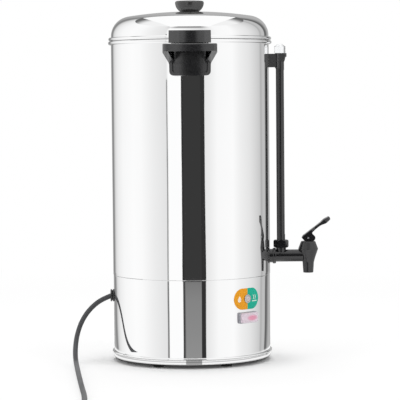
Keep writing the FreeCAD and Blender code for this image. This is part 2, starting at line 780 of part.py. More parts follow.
def make_cord():
    """The lead: its free run, its coil, the tail that reaches the plug, the tie and the plug."""
    start, heading = coil_point(0.0)
    stub = cord_diameter
    points = [V(*p) for p in lead_route[:-1]]
    points[-1] = start - heading * (stub + 27.0)
    lead_end = start - heading * stub
    path, radii = route_path(points + [lead_end])
    lead = tube_along(path, cord_radius)
    print("lead radii", radii, "length", round(path.Length, 1))
    print("lead volume over section times length", round(lead.Volume / (math.pi * cord_radius ** 2 * path.Length), 4))
    total = path.Length
    pieces["cord_lead"] = lead

    edges = [Part.LineSegment(lead_end, start).toShape()]
    count = int(round((coil_turns_in + 0.5 + coil_turns_out) * 4))
    here, way = start, heading
    for quarter in range(1, count + 1):
        there, onward = coil_point(quarter / 4)
        edges.extend(biarc(here, way, there, onward))
        here, way = there, onward
    coil_end = here + way * stub
    edges.append(Part.LineSegment(here, coil_end).toShape())
    path = Part.Wire(edges)
    coil = tube_along(path, cord_radius)
    total += path.Length
    samples = path.discretize(Number=700)
    step = path.Length / 699
    apart = int(3 * cord_diameter / step)
    gap = min(samples[i].distanceToPoint(samples[j]) for i in range(0, 700, 2)
              for j in range(i + apart, 700, 2)) - cord_diameter
    print("coil length", round(path.Length, 1), "least gap to itself", round(gap, 2))
    print("coil volume over section times length", round(coil.Volume / (math.pi * cord_radius ** 2 * path.Length), 4))
    pieces["cord_coil"] = coil

    rise = plug_radius - coil_end.z
    tail_points = [coil_end] + [coil_end + way * reach + V(0, 0, rise * share) for reach, share in tail_steps]
    path, radii = route_path(tail_points)
    pieces["cord_tail"] = tube_along(path, cord_radius)
    total += path.Length
    print("tail radii", radii, "length", round(path.Length, 1), "whole lead", round(total, 1))
    make_plug(tail_points[-1], V(way.x, way.y, 0).normalize())
    make_tie()


def make_tie():
    """A soft band round all the turns on the coil's far side."""
    angle = 60.0
    inner = coil_outer - coil_pitch * (coil_turns_in + 0.25) - cord_radius - 0.6
    outer = coil_outer + cord_radius + 1.2
    low = 0.1
    high = coil_lift + coil_layer + cord_radius + 1.2
    u = (outer - inner) / 2
    v = (high - low) / 2
    ring = [(-u, -v, 2.2), (u, -v, 2.2), (u, v, 3.6), (-u, v, 3.6)]
    t = 0.9
    hole = [(-u + t, -v + t, 1.5), (u - t, -v + t, 1.5), (u - t, v - t, 2.8), (-u + t, v - t, 2.8)]
    place = V((inner + outer) / 2, 0, (low + high) / 2)

    def upright(p):
        return V(p.x, 0, p.y) + place

    band = slab(ring, 9.0, upright, Y_AXIS).cut(slab(hole, 10.0, upright, Y_AXIS))
    band.rotate(ORIGIN, Z_AXIS, angle)
    band.translate(V(coil_centre[0], coil_centre[1], 0))
    pieces["coil_tie"] = band


def make_plug(at, way):
    """A moulded mains plug that lies on its side: body, two round pins and an earth strip."""
    neck = 9.0
    front = plug_neck + plug_length
    body = turned([(cord_radius, 0), (6.4, 0, 1.0), (7.6, plug_neck, 2.0), (13.0, plug_neck + 2.0, 2.0),
                   (plug_radius, plug_neck + 7.0, 3.0), (plug_radius, front, 1.2),
                   (0, front), (0, neck), (cord_radius, neck)])
    flat_at = 0.9 * plug_radius
    wide = 2 * plug_radius
    body = body.cut(box((flat_at, -wide, 0), (wide, wide, 2 * front)))
    body = body.cut(box((-wide, -wide, 0), (-flat_at, wide, 2 * front)))
    pins = []
    for side in (-1, 1):
        body = body.cut(cylinder(2.4, 8, V(0, side * 9.5, front - 8)))
        pins.append(turned([(0, front - 8), (2.4, front - 8), (2.4, front + 17.5), (1.2, front + 19),
                            (0, front + 19)], 360.0, V(0, side * 9.5, 0)))
    turn = FreeCAD.Rotation(Z_AXIS, way)
    upright = turn.multVec(Y_AXIS)
    roll = math.degrees(upright.getAngle(V(-way.y, way.x, 0)))
    for name, shape in (("plug_body", body), ("plug_pins", group(pins))):
        shape.rotate(ORIGIN, Z_AXIS, roll if upright.z < 0 else -roll)
        shape.Placement = FreeCAD.Placement(at, turn).multiply(shape.Placement)
        pieces[name] = shape


def make_tap():
    """The tap: shank through the wall, body with the spout, bonnet, stem, seat cup and spring."""
    bore = cylinder(shank_bore, tap_reach + 40, V(shell_radius - shank_inner_end - 2, 0, tap_z), X_AXIS)
    collar_x = shell_radius + tap_washer_thickness
    shank_end = tap_x - chamber_radius - 0.2
    shank = cylinder(shank_radius, shank_end - shell_radius + shank_inner_end,
                     V(shell_radius - shank_inner_end, 0, tap_z), X_AXIS)
    collar = turned([(0, 0), (collar_radius - 0.6, 0), (collar_radius, 0.8), (collar_radius, collar_thickness - 0.8),
                     (collar_radius - 0.6, collar_thickness), (0, collar_thickness)])
    collar.Placement = FreeCAD.Placement(V(collar_x, 0, tap_z), FreeCAD.Rotation(Z_AXIS, X_AXIS))
    boss_top = tap_z + shank_radius + 2.8
    boss = cylinder(gauge_boss_radius, boss_top - tap_z, V(gauge_x, 0, tap_z))
    spigot_top = boss_top + 6.0
    spigot = cylinder(gauge_boss_radius - 0.6, spigot_top - tap_z, V(gauge_x, 0, tap_z))
    drill_plug = cylinder(2.0, shank_radius + 0.7, V(gauge_x - 2.1, 0, tap_z + 1.8), V(0, -1, 0))
    shank = shank.fuse([collar, boss, spigot, drill_plug]).removeSplitter()
    well = cylinder(glass_radius + 0.15, 40, V(gauge_x, 0, glass_foot))
    drop = cylinder(glass_bore, 40, V(gauge_x, 0, tap_z))
    shank = shank.cut(bore).cut(well).cut(drop)
    pieces["tap_shank"] = shank

    washer = pipe(tap_washer_radius, shank_radius, tap_washer_thickness + 4, V(shell_radius - 4, 0, tap_z),
                  X_AXIS)
    pieces["tap_washer"] = washer.cut(cylinder(shell_radius, 2 * tank_top, ORIGIN))
    seal_outer = shank_radius + 3.2
    inner_seal = pipe(seal_outer, shank_radius, 4.0, V(tank_inner - 3.2, 0, tap_z), X_AXIS)
    pieces["tap_inner_seal"] = inner_seal.common(cylinder(tank_inner, 2 * tank_top, ORIGIN))
    nut = hexagon(locknut_width, locknut_thickness, V(tank_inner - 3.2 - locknut_thickness, 0, tap_z), X_AXIS)
    pieces["tap_locknut"] = nut.cut(cylinder(shank_radius, 60, V(tank_inner - 30, 0, tap_z), X_AXIS))

    low = tap_z - spout_length
    seat = tap_z - seat_drop
    centre = V(tap_x, 0, 0)
    body = turned([(0, low), (spout_radius, low, 0.6), (spout_radius + 0.95, tap_z - 9.2, 12),
                   (tap_top_radius + 0.2, tap_z - 1.5, 4), (tap_belly_radius, tap_z + tap_belly_height, 1.6),
                   (tap_top_radius + 0.6, bonnet_top - 1.6, 1.0), (tap_top_radius - 0.2, bonnet_top),
                   (0, bonnet_top)], 360.0, centre)
    body = body.cut(cylinder(spout_bore, seat_drop + spout_length, V(tap_x, 0, low - 1)))
    body = body.cut(cylinder(chamber_radius, tap_top_height, V(tap_x, 0, seat)))
    bonnet_seat = bonnet_top - bonnet_length
    body = body.cut(cylinder(bonnet_radius, bonnet_length + 1, V(tap_x, 0, bonnet_seat)))
    body = body.cut(cylinder(shank_radius, shank_end - shell_radius, V(shell_radius, 0, tap_z), X_AXIS))
    body = body.cut(cylinder(shank_bore, tap_reach, V(shell_radius, 0, tap_z), X_AXIS))
    pieces["tap_body"] = body

    bonnet = turned([(stem_radius + RUNNING, bonnet_seat), (bonnet_radius, bonnet_seat),
                     (bonnet_radius, bonnet_top - 1.0, 0.4), (bonnet_radius - 1.6, bonnet_top),
                     (stem_radius + RUNNING, bonnet_top)], 360.0, centre)
    pieces["tap_bonnet"] = bonnet

    stem = turned([(0, seat + 2.2), (stem_flange_radius - 0.8, seat + 2.2), (stem_flange_radius - 0.8, seat + 5.2),
                   (stem_flange_radius, seat + 5.2), (stem_flange_radius, seat + 6.2),
                   (stem_radius, seat + 6.2), (stem_radius, pin_z + 2.2, 0.8), (0, pin_z + 2.2)],
                  360.0, centre)
    stem = stem.cut(cylinder(pin_radius + RUNNING, 20, V(tap_x, -10, pin_z), Y_AXIS))
    pieces["tap_stem"] = stem
    cup = turned([(0, seat + 0.05), (cup_radius, seat + 0.05, 0.8), (cup_radius, seat + 5.2),
                  (stem_flange_radius - 0.8, seat + 5.2), (stem_flange_radius - 0.8, seat + 2.2),
                  (0, seat + 2.2)], 360.0, centre)
    pieces["seat_cup"] = cup

    spring_foot = seat + 5.2 + spring_wire + 0.1
    spring_top = bonnet_seat - spring_wire - 0.1
    pitch = (spring_top - spring_foot) / spring_turns
    helix = Part.makeHelix(pitch, spring_top - spring_foot, spring_radius)
    ring = Part.Wire(Part.Circle(V(spring_radius, 0, 0), Y_AXIS, spring_wire / 2).toShape())
    spring = Part.Wire(helix.Edges).makePipeShell([ring], True, True)
    spring.translate(V(tap_x, 0, spring_foot))
    pieces["tap_spring"] = spring
    make_lever()


def make_lever():
    """The lever: a forked yoke with a round cam under it, and a blade that widens to a paddle."""
    along = V(math.cos(math.radians(lever_angle)), 0, math.sin(math.radians(lever_angle)))
    under = V(along.z, 0, -along.x)
    root = V(-6.4, 0, 3.8)

    def at(run, depth):
        point = root + along * run + under * depth
        return (point.x, point.z)

    def from_pin(p):
        return V(tap_x + p.x, 0, pin_z + p.y)

    tip = lever_length
    profile = [(-9.0, 0.0, 1.0), (-6.9, 3.4), at(0.5, 0.0), at(tip - 15, 0.0), at(tip - 8, -0.5) + (14,),
               at(tip, 0.6) + (1.2,), at(tip - 0.6, 4.8) + (2.0,), at(tip - 9, 5.6) + (8,),
               at(tip - 17, 3.3) + (16,), at(19.0, 3.5) + (10,), (4.9, 7.1, 2.0), (8.7, 2.4),
               (cam_offset, -cam_radius + 0.05), (-5.0, -cam_radius + 0.2, 1.0)]
    side = slab(profile, paddle_width + 2, from_pin, Y_AXIS)
    cam = cylinder(cam_radius, yoke_width, V(tap_x + cam_offset, -yoke_width / 2, pin_z), Y_AXIS)
    half = paddle_width / 2
    neck = yoke_width / 2
    plan = [(-14, -neck), (13, -neck, 4), (20, -4.4, 8), (tip - 10, -half, 10), (tip + 1.5, -half + 1.5, 7),
            (tip + 1.5, half - 1.5, 7), (tip - 10, half, 10), (20, 4.4, 8), (13, neck, 4), (-14, neck)]
    base = V(tap_x, 0, pin_z) + root - under * 20

    def in_blade(p):
        return base + along * p.x + V(0, p.y, 0)

    trim = outline(plan, in_blade).extrude(under * 40)
    lever = side.common(trim).fuse(cam).removeSplitter()
    slot = box((tap_x - 12, -yoke_slot / 2, pin_z - 8), (tap_x + 12, yoke_slot / 2, pin_z + 3.9))
    lever = lever.cut(slot)
    lever = lever.cut(cylinder(pin_radius, 20, V(tap_x, -10, pin_z), Y_AXIS))
    dish = Part.makeSphere(26.0, V(0, 0, 0))
    dish.translate(V(tap_x, 0, pin_z) + root + along * (tip - 8.5) - under * 25.6)
    lever = lever.cut(dish)
    pieces["tap_lever"] = lever
    pin = turned([(0, 0), (pin_radius - 0.3, 0), (pin_radius, 0.3), (pin_radius, yoke_width - 0.3),
                  (pin_radius - 0.3, yoke_width), (0, yoke_width)])
    pin.Placement = FreeCAD.Placement(V(tap_x, -yoke_width / 2, pin_z), FreeCAD.Rotation(Z_AXIS, Y_AXIS))
    pieces["lever_pin"] = pin


def make_gauge():
    """The level gauge: glass in a slotted guard, a nut and seal below, a bracket and cap above."""
    boss_top = tap_z + shank_radius + 2.8
    spigot_top = boss_top + 6.0
    nut_low = boss_top + 0.2
    nut = hexagon(gauge_nut_width, gauge_nut_height, V(gauge_x, 0, nut_low))
    seal_top = spigot_top + 2.2
    nut = nut.cut(cylinder(gauge_boss_radius - 0.6, seal_top - nut_low, V(gauge_x, 0, nut_low)))
    nut = nut.cut(cylinder(glass_radius + SLIP, 40, V(gauge_x, 0, nut_low)))
    pieces["gauge_nut"] = nut
    pieces["gauge_seal"] = pipe(gauge_boss_radius - 0.6, glass_radius, seal_top - spigot_top,
                                V(gauge_x, 0, spigot_top))
    guard_low = nut_low + gauge_nut_height
    glass_top = gauge_top - 3.8
    pieces["gauge_glass"] = pipe(glass_radius, glass_bore, glass_top - glass_foot, V(gauge_x, 0, glass_foot))
    guard = pipe(guard_radius, guard_bore, gauge_top - guard_low, V(gauge_x, 0, guard_low))
    slot_low = guard_low + 8.0
    slot_high = gauge_top - bracket_height - 4.0
    guard = guard.cut(box((gauge_x, -guard_slot / 2, slot_low), (gauge_x + 20, guard_slot / 2, slot_high)))
    for side in (-1, 1):
        y = side * guard_radius
        groove = box((gauge_x - 0.6, min(y, y - side * 0.7), guard_low), (gauge_x + 0.6, max(y, y - side * 0.7),
                                                                         gauge_top))
        guard = guard.cut(groove)
    pieces["gauge_guard"] = guard

    low = gauge_top - bracket_height
    arm = box((shell_radius - 2, -bracket_width / 2, low), (gauge_x, bracket_width / 2, gauge_top - 0.8))
    clip = cylinder(guard_radius + clip_wall, bracket_height + 1.6, V(gauge_x, 0, low - 1.6))
    clip = clip.cut(box((gauge_x, -20, low - 10), (gauge_x + 20, 20, gauge_top + 1)))
    arm = arm.cut(box((gauge_x - guard_radius - clip_wall + 1.2, -20, low - 1), (gauge_x + 20, 20, gauge_top + 1)))
    ledge = slab([(-0.1, gauge_top), (ledge_reach, gauge_top, 0.6),
                  (ledge_reach, gauge_top - ledge_thickness, 0.6),
                  (guard_radius + 1.9, gauge_top - ledge_thickness), (guard_radius + 0.2, gauge_top - 11.6),
                  (-0.1, gauge_top - 11.6)], 2 * (guard_radius + clip_wall),
                 lambda p: V(gauge_x + p.x, 0, p.y), Y_AXIS)
    rounding = cylinder(ledge_reach, 20, V(gauge_x, 0, gauge_top - 15))
    bracket = arm.fuse([clip, ledge.common(rounding)]).removeSplitter()
    bracket = bracket.cut(cylinder(guard_radius, 60, V(gauge_x, 0, gauge_top - 40)))
    bracket = bracket.cut(cylinder(shell_radius, 2 * tank_top, ORIGIN))
    bracket = bracket.cut(cylinder(bracket_screw_radius, 7.0, V(shell_radius - 1, 0, bracket_screw_z), X_AXIS))
    pieces["gauge_bracket"] = bracket
    fixing = screw(bracket_screw_radius, 6.0, 3.2, 1.6, V(tank_inner - 0.2, 0, bracket_screw_z), X_AXIS)
    pieces["bracket_screw"] = fixing

    shoulder = cap_height - 3.4
    ring = [(cap_radius * math.cos(2 * math.pi * k / cap_sides), cap_radius * math.sin(2 * math.pi * k / cap_sides))
            for k in range(cap_sides)]
    wires = []
    for share, z in ((1.0, shoulder), (0.36, cap_height)):
        corners = [V(share * u, share * v, z) for u, v in ring + ring[:1]]
        wires.append(Part.makePolygon(corners))
    facets = Part.makeLoft(wires, True, True)
    cap = outline(ring, lambda p: V(p.x, p.y, 0)).extrude(V(0, 0, shoulder)).fuse(facets).removeSplitter()
    plug = cylinder(guard_bore - SLIP, 3.2, V(0, 0, -3.2))
    cap = cap.fuse(plug).removeSplitter()
    cap.translate(V(gauge_x, 0, gauge_top + 0.1))
    pieces["gauge_cap"] = cap


def make_lid():
    """The domed lid with its rolled rim and inner ring, the seal, the knob and its fixing."""
    def dome(shrink):
        """Right half of the lid's section, pulled in by the sheet's thickness."""
        r_s = lid_shoulder_radius - shrink
        tilt = math.atan2(shoulder_centre_r, crown_drop)
        touch = V(shoulder_centre_r + r_s * math.sin(tilt), 0, shoulder_centre_z + r_s * math.cos(tilt))
        between = tilt + (math.pi / 2 - tilt) / 2
        middle = V(shoulder_centre_r + r_s * math.sin(between), 0,
                   shoulder_centre_z + r_s * math.cos(between))
        side = V(shoulder_centre_r + r_s, 0, shoulder_centre_z)
        crown = lid_crown_radius - shrink
        top = V(0, 0, crown_centre_z + crown)
        half = tilt / 2
        crown_middle = V(crown * math.sin(half), 0, crown_centre_z + crown * math.cos(half))
        foot = V(side.x, 0, lid_bottom + lid_bead_section)
        edges = [Part.Arc(top, crown_middle, touch).toShape(), Part.Arc(touch, middle, side).toShape(),
                 Part.LineSegment(side, foot).toShape(),
                 Part.LineSegment(foot, V(0, 0, foot.z)).toShape(),
                 Part.LineSegment(V(0, 0, foot.z), top).toShape()]
        return Part.Face(Part.Wire(edges)).revolve(ORIGIN, Z_AXIS, 360)

    outer = dome(0.0)
    inner = dome(lid_wall)
    shell = outer.cut(inner)
    bead_out = lid_bead_radius + lid_bead_section
    bead_top = lid_bottom + 2 * lid_bead_section
    bead = turned([(lid_radius - lid_wall, lid_bottom, 1.0), (bead_out, lid_bottom, lid_bead_section - 0.02),
                   (bead_out, bead_top, lid_bead_section - 0.02), (lid_radius - lid_wall, bead_top)])
    ring = pipe(lid_ring_radius, lid_ring_radius - lid_ring_wall, 40 + lid_ring_depth,
                V(0, 0, lid_bottom - lid_ring_depth))
    low_part = pipe(lid_ring_radius, lid_ring_radius - lid_ring_wall, lid_ring_depth + lid_bead_section,
                    V(0, 0, lid_bottom - lid_ring_depth))
    high_part = ring.common(outer)
    shell = shell.fuse([bead, low_part, high_part]).removeSplitter()
    shell = shell.cut(cylinder(knob_screw_radius + SLIP / 3, 60, V(0, 0, lid_top - 30)))
    for side in (90, -90):
        for offset in (-7, 7):
            hole = cylinder(rivet_radius, 12, V(lid_radius - 6, 0, catch_rivet_z), X_AXIS)
            shell = shell.cut(around(hole, side + offset))
    pieces["lid_shell"] = shell
    seal_inner = lid_ring_radius + SLIP
    seal_outer = tank_inner - SLIP
    seal_low = lid_bottom - seal_height + 2.8
    pieces["lid_seal"] = turned([(seal_inner, seal_low), (seal_outer - 0.6, seal_low, 0.5),
                                 (seal_outer, seal_low + 2), (seal_outer - 0.5, seal_low + seal_height - 1),
                                 (seal_inner, seal_low + seal_height - 1)])
    make_knob()
    make_catches()


def make_knob():
    """The lid's knob, waisted towards its foot, with the screw and washer that hold it."""
    foot_z = crown_centre_z + math.sqrt(lid_crown_radius ** 2 - knob_foot_radius ** 2)
    waist = V(knob_foot_radius, 0, foot_z)
    widest = V(knob_radius, 0, foot_z + knob_widest_height)
    bulge = V(knob_radius - 2.3, 0, foot_z + knob_widest_height * 0.42)
    top_z = foot_z + knob_height
    brow = V(knob_radius - knob_edge, 0, top_z - 0.5)
    cheek = V(knob_radius - 0.55, 0, foot_z + (knob_widest_height + knob_height) / 2 + 0.3)
    crown = (brow.x ** 2 + 0.5 ** 2) / (2 * 0.5)
    lean = math.asin(brow.x / crown) / 2
    middle = V(crown * math.sin(lean), 0, top_z - crown * (1 - math.cos(lean)))
    bottom = V(0, 0, lid_top)
    half = math.asin(knob_foot_radius / lid_crown_radius) / 2
    under = V(lid_crown_radius * math.sin(half), 0, crown_centre_z + lid_crown_radius * math.cos(half))
    edges = [Part.Arc(bottom, under, waist).toShape(), Part.Arc(waist, bulge, widest).toShape(),
             Part.Arc(widest, cheek, brow).toShape(), Part.Arc(brow, middle, V(0, 0, top_z)).toShape(),
             Part.LineSegment(V(0, 0, top_z), bottom).toShape()]
    knob = Part.Face(Part.Wire(edges)).revolve(ORIGIN, Z_AXIS, 360)
    knob = knob.cut(cylinder(knob_screw_radius, 10, V(0, 0, lid_top - 0.5)))
    pieces["lid_knob"] = knob
    under = lid_top - lid_wall - 0.1
    fixing = screw(knob_screw_radius, 9.5, 4.8, 2.8, V(0, 0, under - 1.0), Z_AXIS)
    flange = cylinder(9.0, 1.0, V(0, 0, under - 1.0))
    pieces["knob_screw"] = fixing.fuse(flange).removeSplitter()


def make_catches():
    """The two black catches riveted to the lid's side, each reaching down over the rim."""
    catch_outer = lid_bead_radius + lid_bead_section + 0.8 + catch_thickness
    base = lid_bottom + lid_side_height
    top = base + catch_rise
    low = base - catch_drop
    shelf = lid_bottom + 2 * lid_bead_section + 0.3
    inner = tank_bead_radius + tank_bead_section + 2 * SLIP
    half_angle = math.degrees(math.asin(catch_width / 2 / catch_outer))
    section = [(lid_radius - 1.0, shelf), (lid_radius - 1.0, top), (catch_outer - 1.0, top, 1.2),
               (catch_outer, low, 0.6), (inner, low), (inner, shelf)]
    rivets = []
    for name, side in (("lid_catch_front", -90), ("lid_catch_rear", 90)):
        block = turned(section, 2 * half_angle)
        block = around(block, side - half_angle)
        lid_form = lid_outer_form()
        block = block.cut(lid_form)
        for offset in (-7, 7):
            hole = around(cylinder(rivet_radius, 12, V(lid_radius - 6, 0, catch_rivet_z), X_AXIS), side + offset)
            block = block.cut(hole)
            rivet = screw(rivet_radius, 6.4, 3.0, 1.0, V(lid_radius - lid_wall - 0.5, 0, catch_rivet_z), X_AXIS)
            rivets.append(around(rivet, side + offset))
        pieces[name] = block
    pieces["catch_rivets"] = group(rivets)


def lid_outer_form():
    """The space inside the lid's outer face, which the catches are shaped to."""
    side = cylinder(lid_radius, lid_side_height, V(0, 0, lid_bottom))
    shoulder = Part.makeTorus(shoulder_centre_r, lid_shoulder_radius, V(0, 0, shoulder_centre_z))
    core = cylinder(shoulder_centre_r, lid_shoulder_radius, V(0, 0, shoulder_centre_z))
    return side.fuse([shoulder, core])


def make_handles():
    """Two shelf handles: a pad on the wall, a shelf over the fingers, webs and ribs under it."""
    top = handle_top
    pad_low = top - handle_pad_height
    pad_half = handle_pad_width / 2
    lip_half = handle_lip_width / 2
    wall = shell_radius
    front = wall + handle_reach
    pad_face = wall + handle_pad_thickness
    web_foot = top - handle_lip_height - handle_web_drop

    def elevation(p):
        return V(p.x, 0, p.y)

    def plan(p):
        return V(p.x, p.y, 0)

    pad_outline = outline([(-pad_half + 1, pad_low, 5.5), (pad_half - 1, pad_low, 5.5), (pad_half, top),
                           (-pad_half, top)], elevation)
    pad = pad_outline.extrude(V(0, pad_face, 0))
    tray_half = pad_half - handle_rim_width
    tray_top = top - handle_lip_height - 2.0
    tray = outline([(-tray_half + 1, pad_low + handle_rim_width, 3), (tray_half - 1, pad_low + handle_rim_width, 3),
                    (tray_half, tray_top, 1.5), (-tray_half, tray_top, 1.5)], elevation)
    tray.translate(V(0, pad_face - handle_tray_depth, 0))
    tray = tray.extrude(V(0, 20, 0))
    back = wall - 2 * handle_pad_thickness
    mass_plan = outline([(-pad_half, back), (pad_half, back), (pad_half, pad_face, 4),
                         (lip_half, front - 9, 6), (lip_half, front, 5), (-lip_half, front, 5),
                         (-lip_half, front - 9, 6), (-pad_half, pad_face, 4)], plan)
    mass_plan.translate(V(0, 0, web_foot))
    mass = mass_plan.extrude(V(0, 0, top - web_foot))
    lip_low = top - handle_lip_height
    side_cut = outline([(back, web_foot - 1), (pad_face - 1, web_foot + 1), (front - handle_lip_thickness - 1,
                        lip_low, 3), (front + 20, lip_low), (front + 20, web_foot - 20), (back, web_foot - 20)],
                       lambda p: V(0, p.x, p.y))
    side_cut.translate(V(-lip_half - 5, 0, 0))
    mass = mass.cut(side_cut.extrude(V(handle_lip_width + 10, 0, 0)))
    inside = pad_half - handle_web_thickness
    inside_front = lip_half - handle_web_thickness
    hollow_plan = outline([(-inside, pad_face), (inside, pad_face), (inside_front, front - handle_lip_thickness, 2),
                           (-inside_front, front - handle_lip_thickness, 2)], plan)
    hollow_plan.translate(V(0, 0, web_foot - 30))
    hollow = hollow_plan.extrude(V(0, 0, top - handle_shelf_thickness - web_foot + 30))
    ribs = []
    for side in (-1, 1):
        x = side * handle_rib_offset
        low_x = min(x, x + side * handle_rib_thickness)
        rib = outline([(pad_face - 1, top - 2), (pad_face - 1, web_foot + 6), (front - handle_lip_thickness + 1,
                       lip_low + 1), (front - handle_lip_thickness + 1, top - 2)], lambda p: V(0, p.x, p.y))
        rib.translate(V(low_x, 0, 0))
        ribs.append(rib.extrude(V(handle_rib_thickness, 0, 0)))
    form = mass.cut(hollow).fuse(pad.cut(tray)).fuse(ribs).removeSplitter()
    form = form.cut(cylinder(wall, 2 * tank_top, ORIGIN))
    top_edges = [e for e in form.Edges if abs(e.BoundBox.ZMin - top) < 1e-3 and abs(e.BoundBox.ZMax - top) < 1e-3
                 and e.CenterOfMass.y > wall + 3]
    form = form.makeFillet(1.4, top_edges)
    for x in (-handle_screw_spacing / 2, handle_screw_spacing / 2):
        form = form.cut(cylinder(handle_screw_radius, handle_pad_thickness - handle_tray_depth - 0.8 + 10,
                                 V(x, wall - 10, handle_screw_z), Y_AXIS))
    screws = []
    seals = []
    for side in (0, 180):
        for x in (-handle_screw_spacing / 2, handle_screw_spacing / 2):
            seal = pipe(5.2, handle_screw_radius, 4, V(x, tank_inner - 2.4, handle_screw_z), Y_AXIS)
            seals.append(around(seal.common(cylinder(tank_inner, 2 * tank_top, ORIGIN)), side))
            fixing = screw(handle_screw_radius, 2.4 + shell_wall + 4.0, 4.6, 2.6,
                           V(x, tank_inner - 2.4, handle_screw_z), Y_AXIS)
            screws.append(around(fixing, side))
    pieces["handle_rear"] = form
    pieces["handle_front"] = around(form, 180)
    pieces["handle_screws"] = group(screws)
    pieces["handle_seals"] = group(seals)


def make_all():
    """Makes every piece in the order it would be put together."""
    pieces["tank_shell"] = make_tank_shell()
    pieces["tank_floor"] = make_tank_floor()
    pieces["base_skirt"] = make_base_skirt()
    pieces["base_pan"] = make_base_pan()
    make_feet()
    make_skirt_brackets()
    make_heater()
    make_cutout()
    make_terminals()
    make_wires()
    make_panel()
    make_switch()
    make_gland()
    make_cord()
    make_tap()
    make_gauge()
    make_lid()
    make_handles()


make_all()
os.makedirs("parts", exist_ok=True)
for name, shape in sorted(pieces.items()):
    solids = shape.Solids
    good = shape.isValid() and len(solids) > 0
    print(name, "solids", len(solids), "volume", round(shape.Volume, 1), "" if good else "CHECK")
    shape.exportStep(f"parts/{name}.step")
print("pieces", len(pieces))
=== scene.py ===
# %% [markdown]
# # A hot water urn
# The real thing is a tall drum of polished steel on a heated base. It has a domed lid, black handles,
# a lever tap with a level gauge above it, and a mains lead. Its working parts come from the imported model.
# This script gives every surface its finish, and makes again, finer, the pieces that mirror the room,
# because a polished shell shows each facet of a coarse one.

import json
import math

import bmesh
import bpy
from mathutils import Matrix, Vector


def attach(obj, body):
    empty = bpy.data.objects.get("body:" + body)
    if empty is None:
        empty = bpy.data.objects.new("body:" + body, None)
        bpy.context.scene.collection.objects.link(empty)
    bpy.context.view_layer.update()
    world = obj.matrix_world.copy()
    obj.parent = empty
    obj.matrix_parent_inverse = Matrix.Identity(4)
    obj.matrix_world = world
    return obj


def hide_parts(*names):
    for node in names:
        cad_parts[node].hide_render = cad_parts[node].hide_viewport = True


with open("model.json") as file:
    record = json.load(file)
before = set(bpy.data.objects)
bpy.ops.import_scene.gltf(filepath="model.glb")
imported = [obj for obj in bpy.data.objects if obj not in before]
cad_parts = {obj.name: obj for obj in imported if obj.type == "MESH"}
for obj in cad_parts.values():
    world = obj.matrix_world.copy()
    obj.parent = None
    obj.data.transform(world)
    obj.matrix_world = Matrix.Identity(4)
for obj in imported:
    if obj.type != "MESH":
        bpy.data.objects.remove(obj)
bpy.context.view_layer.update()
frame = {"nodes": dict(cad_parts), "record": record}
nodes = frame["nodes"]
mm = 0.001

# %% [markdown]
# ## The camera
# The urn was photographed with a long lens from a little above its tap. The place and tilt below were
# worked out from how the round rims open and from how far the drum's sides lean in the picture.

# %% Place the camera
camera_distance = 2730 * mm
camera_height = 374.5 * mm
pitch = math.radians(3.17)
yaw = math.radians(-0.26)
roll = math.radians(-0.49)
camera = bpy.data.objects.new("camera", bpy.data.cameras.new("camera"))
camera.data.lens = 175.5
camera.data.clip_start = 0.1
camera.data.clip_end = 100.0
aim = Matrix.Rotation(yaw, 4, "Z") @ Matrix.Rotation(math.pi / 2 - pitch, 4, "X")
camera.matrix_world = (Matrix.Translation((0, -camera_distance, camera_height)) @ aim
                       @ Matrix.Rotation(roll, 4, "Z"))
bpy.context.scene.collection.objects.link(camera)
bpy.context.scene.camera = camera
bpy.context.scene.view_settings.view_transform = "Standard"
print("camera at", [round(x, 3) for x in camera.location])

# %% [markdown]
# ## The mains lead
# A lead is a fixed length of something bendy, so its line is one smooth spline. It leaves the gland,
# bows down to the table and runs forward. What the picture doesn't show is put away as a tied coil.
# The control points of the free run are listed one by one, and the turns of the coil come from a loop.

# %% The lead's route
cord_diameter = 0.0068
lead_run = [
    (-0.1126, 0.0, 0.0902), (-0.1214, -0.0003, 0.0869), (-0.1326, -0.001, 0.0809),
    (-0.1429, -0.003, 0.0719), (-0.1512, -0.007, 0.0614), (-0.1574, -0.0125, 0.049),
    (-0.1614, -0.0205, 0.0352), (-0.1626, -0.033, 0.0226), (-0.162, -0.0505, 0.0129),
    (-0.1598, -0.073, 0.0069), (-0.1564, -0.105, 0.0036), (-0.152, -0.155, 0.0035),
    (-0.1452, -0.229, 0.0035), (-0.1384, -0.301, 0.0036), (-0.1322, -0.361, 0.0036),
    (-0.1296, -0.428, 0.0037), (-0.1292, -0.486, 0.004),
]
coil_centre = Vector((-0.083, -0.566, 0.0))
coil_outer = 0.045
coil_pitch = 0.0074
coil_lift = 0.0047
coil_layer = 0.0075
turns_in = 1.5
turns_climb = 0.5
turns_out = 1.25
points_per_turn = 16
coil_run_in = 0.027
plug_axis_height = 0.0185
# Steps along the tail, each with its share of the climb to the plug's axis.
tail_rise = ((0.0, 0.0), (0.022, 0.0), (0.042, 0.42), (0.062, 0.97), (0.082, 1.0))
print("free run of", len(lead_run), "points, coil of", turns_in + turns_climb + turns_out, "turns")


def coil_point(turns):
    """Where the coil's centre line lies round its middle, and its heading, after so many turns."""
    inner = coil_outer - coil_pitch * turns_in
    if turns <= turns_in:
        radius, change, height = coil_outer - coil_pitch * turns, -coil_pitch, coil_lift
    elif turns >= turns_in + turns_climb:
        over = turns - turns_in - turns_climb
        radius, change, height = inner + coil_pitch * over, coil_pitch, coil_lift + coil_layer
    else:
        part = math.pi * (turns - turns_in) / turns_climb
        radius = inner - coil_pitch * turns_climb / math.pi * math.sin(part)
        change = -coil_pitch * math.cos(part)
        height = coil_lift + coil_layer * (1 - math.cos(part)) / 2
    angle = math.pi + math.tau * turns
    out = Vector((math.cos(angle), math.sin(angle), 0))
    side = Vector((-math.sin(angle), math.cos(angle), 0))
    return out, radius, height, (out * change + side * math.tau * radius).normalized()


